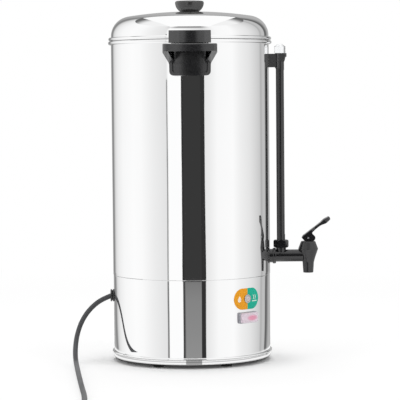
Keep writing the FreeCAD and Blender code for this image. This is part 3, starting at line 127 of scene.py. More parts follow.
def lead_points():
    """All the control points of the lead: its free run, the coil's turns and the tail to the plug."""
    # A bent spline of order 3 runs inside its points, so the coil's points lie a little further out.
    swell = 1 / (0.75 + 0.25 * math.cos(math.tau / points_per_turn))
    out, radius, height, heading = coil_point(0.0)
    start = coil_centre + out * radius + Vector((0, 0, height))
    points = [Vector(p) for p in lead_run]
    points.append(start - heading * (cord_diameter + coil_run_in))
    points.append(start - heading * cord_diameter)
    count = round((turns_in + turns_climb + turns_out) * points_per_turn)
    for step in range(count + 1):
        out, radius, height, heading = coil_point(step / points_per_turn)
        points.append(coil_centre + out * radius * swell + Vector((0, 0, height)))
    end = coil_centre + out * radius + Vector((0, 0, height)) + heading * cord_diameter
    rise = plug_axis_height - height
    for reach, share in tail_rise:
        points.append(end + heading * reach + Vector((0, 0, rise * share)))
    return points


# %% Draw the lead
curve = bpy.data.curves.new("mains_lead", "CURVE")
curve.dimensions = "3D"
spline = curve.splines.new("NURBS")
route = lead_points()
spline.points.add(len(route) - 1)
for spot, point in zip(spline.points, route):
    spot.co = (*point, 1.0)
spline.order_u = 3
spline.use_endpoint_u = True
spline.resolution_u = 8
lead = bpy.data.objects.new("mains_lead", curve)
bpy.context.scene.collection.objects.link(lead)
bpy.context.view_layer.update()
line = bpy.data.meshes.new_from_object(lead.evaluated_get(bpy.context.evaluated_depsgraph_get()))
bpy.data.meshes.remove(line)
curve.bevel_depth = cord_diameter / 2
curve.bevel_resolution = 6
curve.use_fill_caps = True

# %% [markdown]
# ## A small language for materials
# Shader maths reads badly as boxes and wires, so one small class wraps a socket's output and lets it be
# added and multiplied like a number. Every other kind of node comes from one method that takes its type,
# its settings and the values of its sockets.

# %% Wires that can be added


class Wire:
    """The output of a node, to be used in sums."""

    def __init__(self, graph, socket):
        self.graph = graph
        self.socket = socket

    def sum(self, operation, *values):
        return self.graph.node("ShaderNodeMath", {"operation": operation}, values)

    def __add__(self, other):
        return self.sum("ADD", self, other)

    def __radd__(self, other):
        return self.sum("ADD", other, self)

    def __sub__(self, other):
        return self.sum("SUBTRACT", self, other)

    def __rsub__(self, other):
        return self.sum("SUBTRACT", other, self)

    def __mul__(self, other):
        return self.sum("MULTIPLY", self, other)

    def __rmul__(self, other):
        return self.sum("MULTIPLY", other, self)

    def __truediv__(self, other):
        return self.sum("DIVIDE", self, other)

    def __rtruediv__(self, other):
        return self.sum("DIVIDE", other, self)

    def __pow__(self, other):
        return self.sum("POWER", self, other)

    def __neg__(self):
        return self.sum("MULTIPLY", self, -1.0)

    def smaller(self, other):
        return self.sum("MINIMUM", self, other)

    def larger(self, other):
        return self.sum("MAXIMUM", self, other)

    def size(self):
        return self.sum("ABSOLUTE", self)

    def below(self, edge, blur):
        """1 where this is under the edge, 0 over it, with a soft border as wide as the blur."""
        settings = {"interpolation_type": "SMOOTHSTEP"}
        values = {0: self, 1: edge - blur / 2, 2: edge + blur / 2, 3: 1.0, 4: 0.0}
        return self.graph.node("ShaderNodeMapRange", settings, values)

    def above(self, edge, blur):
        return 1 - self.below(edge, blur)


# %% Nodes from one method


class Graph:
    """Makes the nodes of a tree and joins them."""

    def __init__(self, tree):
        self.tree = tree

    def node(self, kind, settings=None, values=(), output=0):
        made = self.tree.nodes.new(kind)
        for name, setting in (settings or {}).items():
            setattr(made, name, setting)
        pairs = values.items() if isinstance(values, dict) else enumerate(values)
        for key, value in pairs:
            self.feed(made.inputs[key], value)
        return Wire(self, made.outputs[output])

    def feed(self, socket, value):
        if isinstance(value, Wire):
            self.tree.links.new(value.socket, socket)
        else:
            socket.default_value = value

    def mix(self, share, first, second):
        """A colour between two colours."""
        settings = {"data_type": "RGBA"}
        first, second = ((*c, 1.0) if isinstance(c, tuple) else c for c in (first, second))
        return self.node("ShaderNodeMix", settings, {0: share, 6: first, 7: second}, 2)

    def split(self, vector):
        """The three parts of a vector, as wires."""
        parts = self.node("ShaderNodeSeparateXYZ", {}, (vector,)).socket.node
        return [Wire(self, socket) for socket in parts.outputs]

    def spot(self):
        """The spot on the piece in metres, as three wires."""
        return self.split(self.node("ShaderNodeTexCoord", output="Object"))

    def noise(self, stretch, detail=2.0):
        """Even random values from 0 to 1. The stretch is how many features fit in a metre, by axis."""
        spot = self.node("ShaderNodeTexCoord", output="Object")
        spot = self.node("ShaderNodeVectorMath", {"operation": "MULTIPLY"}, (spot, stretch))
        values = {"Vector": spot, "Scale": 1.0, "Detail": detail}
        return self.node("ShaderNodeTexNoise", {}, values)

    def looked_at(self):
        """1 for what the camera sees, straight, in a mirror or through glass, and 0 for other light."""
        path = self.node("ShaderNodeLightPath").socket.node
        camera, mirror, glass = (Wire(self, path.outputs["Is %s Ray" % kind])
                                 for kind in ("Camera", "Glossy", "Transmission"))
        return camera.larger(mirror).larger(glass)


def distance(x, y):
    """How far a spot is from where both are 0."""
    return (x * x + y * y) ** 0.5


# %% A material with one shader


class Finish(Graph):
    """A material: one glossy shader whose sockets take numbers or wires."""

    def __init__(self, name, colour=(0.5, 0.5, 0.5), rough=0.5, metal=0.0, **sockets):
        self.material = bpy.data.materials.new(name)
        self.material.use_nodes = True
        super().__init__(self.material.node_tree)
        self.shader = self.tree.nodes["Principled BSDF"]
        self.set("Base Color", colour)
        self.set("Roughness", rough)
        self.set("Metallic", metal)
        for socket, value in sockets.items():
            self.set(socket.replace("_", " "), value)

    def set(self, socket, value):
        if isinstance(value, tuple):
            value = (*value, 1.0)
        self.feed(self.shader.inputs[socket], value)

    def bump(self, height, depth):
        """Raises the surface by the height, where 1 is as high as the depth in metres."""
        self.set("Normal", self.node("ShaderNodeBump", {}, {"Height": height, "Distance": depth}))


# %% [markdown]
# ## Steel
# The drum, base and lid are rolled sheet with a mirror polish. Such sheet is never quite flat: long shallow
# waves bend the edges of what it mirrors, and the polishing wheel leaves a faint haze in streaks.
# Both are far too fine for the mesh, so noise feeds the roughness and the bump.

# %% Polished and plain steel
haze_stretch = (22, 22, 9)
wave_stretch = (7, 7, 3.2)
wave_depth = 0.0011


def polished_steel(name, lines):
    """A mirror finish. The lines are the stretch of the streaks that polishing leaves."""
    steel = Finish(name, metal=1.0)
    streaks = steel.noise(lines, 4.0)
    cloud = steel.noise(haze_stretch, 3.0)
    steel.set("Base Color", steel.mix(cloud, (0.965, 0.968, 0.972), (0.995, 0.995, 0.995)))
    steel.set("Roughness", 0.018 + 0.035 * streaks * cloud)
    waves = steel.noise(wave_stretch, 1.0)
    steel.bump(waves + 0.004 * streaks, wave_depth)
    return steel.material


def plain_metal(name, colour, rough, grain=700.0, pure=1.0):
    """Bright or dull metal as it left the mill or the plating bath. The pure share has no skin of oxide."""
    metal = Finish(name, metal=pure)
    grains = metal.noise((grain, grain, grain), 3.0)
    blotches = metal.noise((60, 60, 60), 3.0)
    darker = tuple(0.72 * c for c in colour)
    metal.set("Base Color", metal.mix(blotches, darker, colour))
    metal.set("Roughness", rough + 0.18 * (grains - 0.5) + 0.1 * (blotches - 0.5))
    metal.bump(grains, 0.00003)
    return metal.material


drum_steel = polished_steel("drum_steel", (420, 420, 9))
lid_steel = polished_steel("lid_steel", (40, 40, 40))
inner_steel = plain_metal("inner_steel", (0.70, 0.69, 0.68), 0.34, pure=0.45)
zinc = plain_metal("zinc_plate", (0.70, 0.71, 0.73), 0.32)
brass = plain_metal("brass", (0.78, 0.60, 0.30), 0.30)
aluminium = plain_metal("cast_aluminium", (0.66, 0.67, 0.68), 0.45, 350.0)
heater_steel = plain_metal("heated_steel", (0.36, 0.30, 0.26), 0.42)
print("metals:", [material.name for material in bpy.data.materials])

# %% [markdown]
# ## Plastics and rubber
# The black parts are moulded nylon and phenolic. A mould leaves a fine even grain with a soft sheen on
# faces, and handling polishes some patches more than others, so grain and patches drive the roughness.
# The handles' broad faces are also a little crowned, as mouldings are. That is too slight for the mesh,
# so the same bump carries it.

# %% Moulded parts


def moulded(name, colour, rough, grain_depth=0.00002, grain=1500.0, crown=None, **sockets):
    """Plastic or rubber from a mould. A crown is the radius in metres that its broad faces bulge by."""
    plastic = Finish(name, rough=rough, **sockets)
    grains = plastic.noise((grain, grain, grain), 2.0)
    patches = plastic.noise((28, 28, 28), 4.0)
    lighter = tuple(min(1.0, 1.35 * c + 0.004) for c in colour)
    plastic.set("Base Color", plastic.mix(patches, colour, lighter))
    plastic.set("Roughness", rough + 0.16 * (patches - 0.5) + 0.1 * (grains - 0.5))
    height = grains * grain_depth
    if crown:
        across = plastic.spot()[0]
        height = height - across * across / (2 * crown)
    plastic.bump(height, 1.0)
    return plastic.material


shiny = {"Coat_Weight": 0.6, "Coat_Roughness": 0.08}
black_plastic = moulded("black_nylon", (0.010, 0.010, 0.011), 0.24, 0.000003, 260.0, 0.09,
                        Specular_IOR_Level=0.9, **shiny)
gloss_plastic = moulded("black_gloss", (0.006, 0.006, 0.007), 0.15, 0.000001, 260.0, **shiny)
knob_plastic = moulded("knob_phenolic", (0.028, 0.027, 0.027), 0.3, 0.000004, 260.0, **shiny)
grey_plastic = moulded("grey_frame", (0.30, 0.30, 0.33), 0.38)
white_plastic = moulded("white_block", (0.72, 0.71, 0.68), 0.45)
cord_rubber = moulded("lead_sheath", (0.046, 0.047, 0.050), 0.5, 0.00002, 600.0)
foot_rubber = moulded("foot_rubber", (0.02, 0.02, 0.02), 0.7, 0.00003, 500.0)
seal_rubber = moulded("seal_silicone", (0.55, 0.53, 0.50), 0.42)
rocker_red = moulded("rocker_red", (0.62, 0.03, 0.09), 0.28)
wire_brown = moulded("wire_brown", (0.12, 0.055, 0.03), 0.4)
print("finishes so far:", len(bpy.data.materials))

# %% [markdown]
# ## Clear parts
# The gauge's glass, its clear cap and the pilot lamp let light through, and they bend it, so they are real
# transmission. The soft cover of the switch is thin and milky. Only a little of it is see-through, which
# is cheaper than bending light, so the red rocker showing through it is painted into its colour as a pink
# patch.

# %% Glass, cap and lamp


def clear(name, colour, rough, ior, through=1.0):
    """Glass or clear plastic with a few faint flow marks."""
    glass = Finish(name, colour, rough, Transmission_Weight=through, IOR=ior)
    marks = glass.noise((90, 90, 25), 2.0)
    glass.set("Roughness", rough + 0.04 * marks)
    return glass.material


clear_glass = clear("gauge_glass", (0.97, 0.99, 0.98), 0.02, 1.47)
clear_cap = clear("clear_cap", (0.93, 0.94, 0.95), 0.03, 1.49)
lamp_lens = clear("lamp_lens", (0.66, 0.60, 0.61), 0.16, 1.5, 0.2)

# %% The switch's cover
panel_angle = math.radians(-46.5)
patch_across, patch_height = 0.0035, 0.0663
patch_wide, patch_high = 0.0085, 0.0035


def milky_cover():
    """Soft clear silicone, milky, with a painted pink patch where the red rocker would show through it."""
    cover = Finish("soft_cover", rough=0.28, Alpha=0.86)
    x, y, z = cover.spot()
    across = y * math.cos(panel_angle) - x * math.sin(panel_angle)
    # Painted show-through: an oval over the red rocker, where the cover's colour is painted pink.
    through_x = (across - patch_across) / patch_wide
    through_z = (z - patch_height) / patch_high
    painted_show_through = (through_x * through_x + through_z * through_z).below(1.0, 1.6)
    cover.set("Base Color", cover.mix(painted_show_through, (0.82, 0.70, 0.78), (0.86, 0.36, 0.50)))
    cover.set("Roughness", 0.22 + 0.2 * cover.noise((220, 220, 220), 3.0))
    return cover.material


boot_milk = milky_cover()
print("finishes so far:", len(bpy.data.materials))

# %% [markdown]
# ## The label
# A capsule plate in two colours carries the pilot lamp in its middle. It is printed, so its picture is drawn
# by sums on the plate's own flat map, in millimetres from the middle: a drop of water on the orange half,
# and two curls of steam over a line on the green one. The ink is duller than the clear film round it.
# An image would do it too, but sums stay sharp at any size and need no file.

# %% The label's print
drop_across, drop_up, drop_radius = -14.2, -1.4, 3.0
drop_waist, drop_tip = 0.9, 6.1
shine_across, shine_up, shine_radius = 1.1, -0.8, 1.6
steam_places = (12.4, 16.2)
steam_up, steam_half, steam_sway = 1.6, 3.1, 0.7
line_across, line_up = 14.3, -3.7


def printed_drop(across, up):
    """A drop of water with a lighter line inside its right edge."""
    x, y = across - drop_across, up - drop_up
    flank = x.size() * 0.86 + (y - drop_tip) * 0.5
    drop = (distance(x, y) - drop_radius).smaller(flank.larger(drop_waist - y)).below(0.0, 0.35)
    shine = (distance(x - shine_across, y - shine_up) - shine_radius).size().below(0.3, 0.3)
    return drop - drop * shine * x.above(0.6, 0.4)


def printed_steam(across, up):
    """Curls of steam over a short line."""
    wave = steam_sway * up.sum("SINE", up)
    within = (up - steam_up).size().below(steam_half, 0.5)
    curls = sum((across - middle - wave).size().below(0.6, 0.3) * within for middle in steam_places)
    line = (across - line_across).size().below(5.0, 0.4) * (up - line_up).size().below(0.6, 0.3)
    return curls + line


def drawn_label():
    """Ink colours chosen by where a spot lies on the plate."""
    ink = Finish("label_print", rough=0.3, Specular_IOR_Level=0.2)
    across, up = ink.split(ink.node("ShaderNodeUVMap", {"uv_map": "plate"}))[:2]
    fibres = ink.noise((900, 900, 900), 3.0)
    orange = ink.mix(fibres, (0.76, 0.31, 0.010), (0.86, 0.37, 0.020))
    green = ink.mix(fibres, (0.004, 0.36, 0.24), (0.010, 0.46, 0.32))
    colour = ink.mix(across.above(0.0, 0.25), orange, green)
    white = (printed_drop(across, up) + printed_steam(across, up)).smaller(1.0) * 0.8
    ink.set("Base Color", ink.mix(white, colour, (0.9, 0.9, 0.84)))
    ink.set("Roughness", 0.24 + 0.14 * fibres + 0.1 * white)
    ink.bump(white * 0.6 + 0.4 * fibres, 0.00003)
    return ink.material


label_ink = drawn_label()
print("finishes made:", len(bpy.data.materials))

# %% [markdown]
# ## Turned pieces
# The tank, base ring, lid and knob are round about one axis, so each is one section swept round a circle.
# A spin in mesh code would do it too, but a node tree keeps the rule in one place: a section goes in and
# a ring of any number of segments comes out. A mirror finish shows every facet, so the big rings
# have 256 segments. The sections are drawn in millimetres, as radius and height.

# %% The tree that turns a section
turn_core = 0.001
weld = 0.000002


def socket_in(tree, name, kind):
    return tree.interface.new_socket(name, in_out="INPUT", socket_type="NodeSocket" + kind).identifier


def turning_tree():
    """Sweeps a section in the plane of X and Z round the Z axis."""
    tree = bpy.data.node_groups.new("turned_piece", "GeometryNodeTree")
    keys = {name: socket_in(tree, name, kind)
            for name, kind in (("Section", "Geometry"), ("Segments", "Int"), ("Finish", "Material"))}
    tree.interface.new_socket("Turned", in_out="OUTPUT", socket_type="NodeSocketGeometry")
    graph = Graph(tree)
    given = tree.nodes.new("NodeGroupInput")
    section, segments, finish = (Wire(graph, given.outputs[name]) for name in keys)
    line = graph.node("GeometryNodeMeshToCurve", {}, {"Mesh": section})
    laid = {"Geometry": line, "Rotation": (math.pi / 2, 0, 0), "Translation": (-turn_core, 0, 0)}
    line = graph.node("GeometryNodeTransform", {}, laid)
    ring = graph.node("GeometryNodeCurvePrimitiveCircle", {}, {"Resolution": segments, "Radius": turn_core})
    ring = graph.node("GeometryNodeSetCurveNormal", {"mode": "Z_UP"}, {"Curve": ring})
    swept = graph.node("GeometryNodeCurveToMesh", {}, {"Curve": ring, "Profile Curve": line})
    swept = graph.node("GeometryNodeMergeByDistance", {}, {"Geometry": swept, "Distance": weld})
    swept = graph.node("GeometryNodeRealizeInstances", {}, {"Geometry": swept})
    swept = graph.node("GeometryNodeSetMaterial", {}, {"Geometry": swept, "Material": finish})
    result = tree.nodes.new("NodeGroupOutput")
    graph.feed(result.inputs[0], swept)
    return tree, keys


turner, turner_keys = turning_tree()
print("turning tree:", len(turner.nodes), "nodes")

# %% [markdown]
# ## Helpers
# A piece is a mesh in the frame of the body that it rides on. It stands for one or more pieces of the
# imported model, which are then hidden. Smooth shading makes a ring of facets look round, so only edges
# that turn sharply stay sharp, and modifiers become plain mesh once they have done their work.

# %% Helpers for making pieces
body_of_node = {n: body for body, names in frame["record"]["behaviour"]["bodies"].items() for n in names}
print("bodies:", sorted(set(body_of_node.values())))


def linked(name, mesh):
    """An object that shows the mesh."""
    made = bpy.data.objects.new(name, mesh)
    bpy.context.scene.collection.objects.link(made)
    return made


def shaded(mesh, sharp):
    """Smooth shading, with edges that turn more than the angle in degrees left sharp."""
    for face in mesh.polygons:
        face.use_smooth = True
    mesh.set_sharp_from_angle(angle=math.radians(sharp))


def faced_out(mesh):
    """Turns every face of a closed mesh outwards."""
    build = bmesh.new()
    build.from_mesh(mesh)
    bmesh.ops.recalc_face_normals(build, faces=build.faces)
    build.to_mesh(mesh)
    build.free()


def applied(piece):
    """Turns the piece's modifiers into plain mesh."""
    bpy.context.view_layer.update()
    mesh = bpy.data.meshes.new_from_object(piece.evaluated_get(bpy.context.evaluated_depsgraph_get()))
    piece.modifiers.clear()
    old = piece.data
    piece.data = mesh
    mesh.name = piece.name
    bpy.data.meshes.remove(old)
    return piece


def settled(piece, *replaced):
    """Gives the piece to the body of the first model piece it stands for, and hides those."""
    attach(piece, body_of_node[replaced[0]])
    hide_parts(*replaced)
    return piece


# %% Helpers for turned pieces
turned_sharp = 28


def turned(name, section, finish, *replaced, segments=256):
    """A closed piece from a section of (radius, height) points. One that starts on the axis has poles."""
    count = len(section)
    links = [(i, i + 1) for i in range(count - 1)]
    if section[0][0] > 0:
        links.append((count - 1, 0))
    mesh = bpy.data.meshes.new(name)
    mesh.from_pydata([(r * mm, 0, z * mm) for r, z in section], links, [])
    piece = linked(name, mesh)
    sweep = piece.modifiers.new("turning", "NODES")
    sweep.node_group = turner
    sweep[turner_keys["Segments"]] = segments
    sweep[turner_keys["Finish"]] = finish
    applied(piece)
    faced_out(piece.data)
    shaded(piece.data, turned_sharp)
    if replaced:
        settled(piece, *replaced)
    return piece


def lined(piece, finish, reach=109.4):
    """Gives the faces within the reach that look at the axis or down a finish of their own."""
    piece.data.materials.append(finish)
    for face in piece.data.polygons:
        out = Vector((face.center.x, face.center.y, 0)).normalized()
        inward = 0.9 * max(0.0, -face.normal.z) - face.normal.dot(out)
        if inward > 0.05 and face.center.xy.length < reach * mm:
            face.material_index = 1
    return piece


def arc(centre, radius, start, end, steps):
    """Points on a circle between two angles in degrees, where 0 points outwards and 90 up."""
    angles = [math.radians(start + (end - start) * i / steps) for i in range(steps + 1)]
    return [(centre[0] + radius * math.cos(a), centre[1] + radius * math.sin(a)) for a in angles]


def bend(first, middle, last, steps):
    """Points on the circle through three points, from the first to the last."""
    ax, ay = first[0] - last[0], first[1] - last[1]
    bx, by = middle[0] - last[0], middle[1] - last[1]
    a, b, cross = ax * ax + ay * ay, bx * bx + by * by, 2 * (ax * by - ay * bx)
    centre = (last[0] + (by * a - ay * b) / cross, last[1] + (ax * b - bx * a) / cross)
    angles = [math.degrees(math.atan2(z - centre[1], r - centre[0])) for r, z in (first, middle, last)]
    start, via, end = angles
    way = 1 if (via - start) % 360 < (end - start) % 360 else -1
    sweep = (way * (end - start)) % 360
    radius = math.hypot(first[0] - centre[0], first[1] - centre[1])
    return arc(centre, radius, start, start + way * sweep, steps)


# %% [markdown]
# ## Tank and base
# The tank's wall ends at the top in a rolled bead that the lid rests on. The base ring under it has a
# smaller bead at its foot, and tucks in a little at the seam so a fine dark line shows there.

# %% Turn the tank and the base
shell_radius = 110.0
wall = 0.8
seam = 120.5
tank_top = 445.8
bead, bead_out, bead_start = 2.6, 111.4, -122.6
curl, curl_out = 1.5, 110.7
tank_section = [(shell_radius - wall, seam), (109.8, seam), (shell_radius, seam + 0.3), (shell_radius, 441.0)]
tank_section += arc((bead_out, tank_top - bead), bead, bead_start, 90, 26)
tank_section += arc((curl_out, tank_top - curl), curl, 90, 180, 8)
tank = lined(turned("tank_wall", tank_section, drum_steel, "tank_shell"), inner_steel)

pan_top = 11.4
skirt_outer = 109.6
skirt_inner = skirt_outer - wall
foot_bead, foot_bead_centre = 1.85, (110.4, 13.25)
edge_round = 0.6
edge_centre = (skirt_outer - edge_round, 119.75)
tuck_outer, tuck_inner, tuck_top = 108.1, 107.3, 127.0
base_section = [(skirt_inner, pan_top), (foot_bead_centre[0], pan_top)]
base_section += arc(foot_bead_centre, foot_bead, -80, 115.6, 22) + [(skirt_outer, 15.6), (skirt_outer, 119.0)]
base_section += arc(edge_centre, edge_round, 0, 90, 5)
base_section += [(tuck_outer, seam - 0.15), (tuck_outer, tuck_top), (tuck_inner, tuck_top)]
base_section += [(tuck_inner, seam - 0.95), (skirt_inner, seam - 0.95)]
base = turned("base_ring", base_section, drum_steel, "base_skirt")
print("tank and base:", len(tank.data.polygons), len(base.data.polygons), "faces")

# %% [markdown]
# ## Lid
# The lid is one spun sheet: a very flat dome that turns down over a wide shoulder into a rolled rim.
# Underneath, a ring hangs into the tank's mouth. Sheet and ring are one section here, as on the real lid.

# %% Turn the lid
lid_low, lid_inner = 446.1, 109.1
crown_radius = 570.0
shoulder = (82.3, 452.5)
shoulder_radius = 27.5
sheet = 0.7
rim, rim_centre = 2.4, (111.1, 448.5)
ring_out, ring_in, ring_low = 106.2, 105.4, 438.1
crown_drop = math.sqrt((crown_radius - shoulder_radius) ** 2 - shoulder[0] ** 2)
crown_centre = (0.0, shoulder[1] - crown_drop)
meeting = 90 - math.degrees(math.atan2(shoulder[0], crown_drop))


def ring_angle(radius):
    """Degrees up the shoulder where the sheet's underside has this radius."""
    out = radius - shoulder[0]
    return math.degrees(math.atan2(math.sqrt((shoulder_radius - sheet) ** 2 - out ** 2), out))


lid_section = arc(crown_centre, crown_radius, 90, meeting, 28)
lid_section += arc(shoulder, shoulder_radius, meeting, 0, 30)[1:]
lid_section += arc(rim_centre, rim, 123, -90, 26) + [(lid_inner, lid_low)]
lid_section += arc(shoulder, shoulder_radius - sheet, 0, ring_angle(ring_out), 6)
lid_section += [(ring_out, ring_low), (ring_in, ring_low)]
lid_section += arc(shoulder, shoulder_radius - sheet, ring_angle(ring_in), meeting, 20)
lid_section += arc(crown_centre, crown_radius - sheet, meeting, 90, 20)[1:]
lid_section[0] = (0.0, lid_section[0][1])
lid_section[-1] = (0.0, lid_section[-1][1])
lid = lined(turned("lid_dome", lid_section, lid_steel, "lid_shell"), inner_steel)
print("lid:", len(lid.data.polygons), "faces, crown", round(lid_section[0][1], 1), "mm up")

# %% [markdown]
# ## The knob
# The knob is one phenolic moulding: a hollow flare under a nearly flat top. Three arcs, each through three
# points, draw its section. They are measured from where its foot meets the lid's crown.

# %% Turn the knob
knob_base = 12.5
knob_widest = (20.1, 12.0)
knob_edge = (17.5, 15.2)
knob_top = (0.0, 15.7)
knob_foot = crown_centre[1] + math.sqrt(crown_radius ** 2 - knob_base ** 2)
knob_line = [(0.0, -2.0), (9.0, -2.0), (knob_base, -0.1)]
knob_line += bend((knob_base, 0.0), (17.8, 5.04), knob_widest, 14)
knob_line += bend(knob_widest, (19.55, 14.15), knob_edge, 8)[1:]
knob_line += bend(knob_edge, (9.0, 15.56), knob_top, 10)[1:-1] + [knob_top]
knob_section = [(radius, knob_foot + height) for radius, height in knob_line]
knob = turned("knob", knob_section, knob_plastic, "lid_knob", segments=96)
print("knob:", len(knob.data.polygons), "faces")

# %% [markdown]
# ## The label plate
# The plate is a capsule bent round the base ring. A grid of columns across it, each as tall as the capsule
# is there, bends well and carries an even flat map in millimetres for the print.

# %% Bend the label plate
panel_turn = Matrix.Rotation(panel_angle, 4, "Z")
label_height = 92.2
label_radius = 109.95
label_back = 109.3
label_half = 23.5
label_high = 14.5
label_edge = 0.32
label_sharp = 60


def label_plate():
    """The capsule's face, its edge and its back, with the flat map of the face."""
    columns, rows = 72, 12
    build = bmesh.new()
    flat_map = build.loops.layers.uv.new("plate")
    straight = label_half - label_high
    spots = {}
    for i in range(columns + 1):
        across = -label_half * math.cos(math.pi * i / columns)
        past = max(0.0, abs(across) - straight)
        half = math.sqrt(max(0.0, label_high ** 2 - past ** 2))
        turn = across / label_radius
        for j in range(rows + 1):
            up = half * (2 * j / rows - 1)
            at_edge = i in (0, columns) or j in (0, rows)
            radius = (label_radius - label_edge * at_edge) * mm
            place = (radius * math.cos(turn), radius * math.sin(turn), (label_height + up) * mm)
            spots[i, j] = (build.verts.new(place), across, up)
    for i in range(columns):
        for j in range(rows):
            corners = [spots[i, j], spots[i + 1, j], spots[i + 1, j + 1], spots[i, j + 1]]
            face = build.faces.new([c[0] for c in corners])
            for loop, corner in zip(face.loops, corners):
                loop[flat_map].uv = (corner[1], corner[2])
    bmesh.ops.remove_doubles(build, verts=build.verts, dist=weld)
    edge = [e for e in build.edges if e.is_boundary]
    walled = bmesh.ops.extrude_edge_only(build, edges=edge)["geom"]
    for vert in (v for v in walled if isinstance(v, bmesh.types.BMVert)):
        vert.co.xy = vert.co.xy.normalized() * label_back * mm
    bmesh.ops.holes_fill(build, edges=[e for e in build.edges if e.is_boundary])
    bmesh.ops.recalc_face_normals(build, faces=build.faces)
    mesh = bpy.data.meshes.new("label")
    build.to_mesh(mesh)
    build.free()
    mesh.transform(panel_turn)
    shaded(mesh, label_sharp)
    mesh.materials.append(label_ink)
    return settled(linked("label", mesh), "label_plate")


label = label_plate()
print("label:", len(label.data.polygons), "faces")

# %% [markdown]
# ## Dressed pieces
# The moulded parts keep the shape of the model. A mould can't make a razor edge, so each gets a copy with
# its flat facets joined again and a small round on every hard edge, which is what catches the light.
# The big faces then set the normals at their edges. Without that rule, a smooth shader tilts them towards
# the small rounds, and a flat face shows a false gradient.

# %% Round off the moulded parts
hard_edge = 32.0
same_plane = 0.5


def dressed(node, finish, width):
    """A copy of a model piece with its finish, and edges rounded to a width in millimetres."""
    build = bmesh.new()
    build.from_mesh(nodes[node].data)
    bmesh.ops.remove_doubles(build, verts=build.verts, dist=weld)
    level = math.radians(same_plane)
    bmesh.ops.dissolve_limit(build, angle_limit=level, verts=build.verts, edges=build.edges)
    bmesh.ops.recalc_face_normals(build, faces=build.faces)
    mesh = bpy.data.meshes.new(node + "_dressed")
    build.to_mesh(mesh)
    build.free()
    mesh.materials.clear()
    mesh.materials.append(finish)
    piece = linked(node + "_dressed", mesh)
    if width > 0:
        edge = piece.modifiers.new("edges", "BEVEL")
        edge.width = width * mm
        edge.segments = 2
        edge.limit_method = "ANGLE"
        edge.angle_limit = math.radians(hard_edge)
        edge.use_clamp_overlap = True
        applied(piece)
    shaded(piece.data, hard_edge)
    piece.modifiers.new("flat_faces_rule", "WEIGHTED_NORMAL").keep_sharp = True
    return settled(applied(piece), node)


dressings = (
    ("handle_front", black_plastic, 0.8), ("handle_rear", black_plastic, 0.8),
    ("lid_catch_front", black_plastic, 0.7), ("lid_catch_rear", black_plastic, 0.7),
    ("tap_body", gloss_plastic, 0.3), ("tap_lever", gloss_plastic, 0.3),
    ("tap_shank", gloss_plastic, 0.25), ("tap_bonnet", gloss_plastic, 0.2),
    ("gauge_nut", gloss_plastic, 0.3), ("gauge_guard", gloss_plastic, 0.15),
    ("gauge_bracket", black_plastic, 0.3), ("gauge_cap", clear_cap, 0.12),
    ("switch_frame", grey_plastic, 0.2), ("switch_rocker", rocker_red, 0.3),
    ("switch_boot", boot_milk, 0.0), ("base_pan", drum_steel, 0.0),
    ("cord_gland", black_plastic, 0.15), ("lamp_holder", zinc, 0.0),
    ("ready_lamp", lamp_lens, 0.0), ("gauge_glass", clear_glass, 0.0),
    ("coil_tie", black_plastic, 0.3), ("plug_body", gloss_plastic, 0.5), ("tap_washer", gloss_plastic, 0.2),
)
dressed_pieces = {node: dressed(node, finish, width) for node, finish, width in dressings}
print("dressed:", len(dressed_pieces), "pieces")

# %% [markdown]
# ## The cover's stretch
# The soft cover is stretched over the switch, and soft silicone gives. So its dressed mesh grows a little
# across the panel and upwards, about its own middle, and moves out by a third of a millimetre.

# %% Stretch the soft cover
cover_out, cover_height = 0.0003, 0.0666
cover_growth = (1.0, 1.16, 1.17, 1.0)
grown = Matrix.Translation((cover_out, 0, cover_height)) @ Matrix.Diagonal(cover_growth)
grown = grown @ Matrix.Translation((0, 0, -cover_height))
dressed_pieces["switch_boot"].data.transform(panel_turn @ grown @ panel_turn.inverted())
print("cover grown by", cover_growth[1:3])

# %% [markdown]
# ## Feet
# The four feet are one turned piece, set round the pan by a second small tree. It puts a copy at every
# corner of a hexagon except the two on the line of the tap, and joins them.

# %% Set the feet round the pan
foot_circle = 92.3
foot_places = 6
foot_sharp = 40


def ring_tree():
    """Copies of a piece at the corners of a ring, turned with it, except those near the X axis."""
    tree = bpy.data.node_groups.new("ring_of_copies", "GeometryNodeTree")
    kinds = (("Piece", "Geometry"), ("Places", "Int"), ("Radius", "Float"), ("Finish", "Material"))
    keys = {name: socket_in(tree, name, kind) for name, kind in kinds}
    tree.interface.new_socket("Ring", in_out="OUTPUT", socket_type="NodeSocketGeometry")
    graph = Graph(tree)
    given = tree.nodes.new("NodeGroupInput")
    piece, places, radius, finish = (Wire(graph, given.outputs[name]) for name in keys)
    ring = graph.node("GeometryNodeMeshCircle", {}, {"Vertices": places, "Radius": radius})
    off_line = graph.split(graph.node("GeometryNodeInputPosition"))[1].size() / radius
    copies = {"Points": ring, "Selection": off_line, "Instance": piece}
    made = graph.node("GeometryNodeInstanceOnPoints", {}, copies)
    made = graph.node("GeometryNodeRealizeInstances", {}, {"Geometry": made})
    made = graph.node("GeometryNodeSetMaterial", {}, {"Geometry": made, "Material": finish})
    result = tree.nodes.new("NodeGroupOutput")
    graph.feed(result.inputs[0], made)
    return tree, keys


ringer, ringer_keys = ring_tree()
foot_section = [(2.0, 2.4), (4.3, 2.4), (4.3, 0.3), (4.6, 0.0)] + arc((6.8, 0.7), 0.7, -90, -10, 5)
foot_section += [(7.9, 4.0), (7.7, 4.2), (2.0, 4.2)]
feet = turned("feet_ring", foot_section, foot_rubber, segments=48)
placing = feet.modifiers.new("places", "NODES")
placing.node_group = ringer
placing[ringer_keys["Places"]] = foot_places
placing[ringer_keys["Radius"]] = foot_circle * mm
placing[ringer_keys["Finish"]] = foot_rubber
applied(feet)
shaded(feet.data, foot_sharp)
settled(feet, "feet")
print("feet:", [round(x, 4) for x in feet.dimensions])

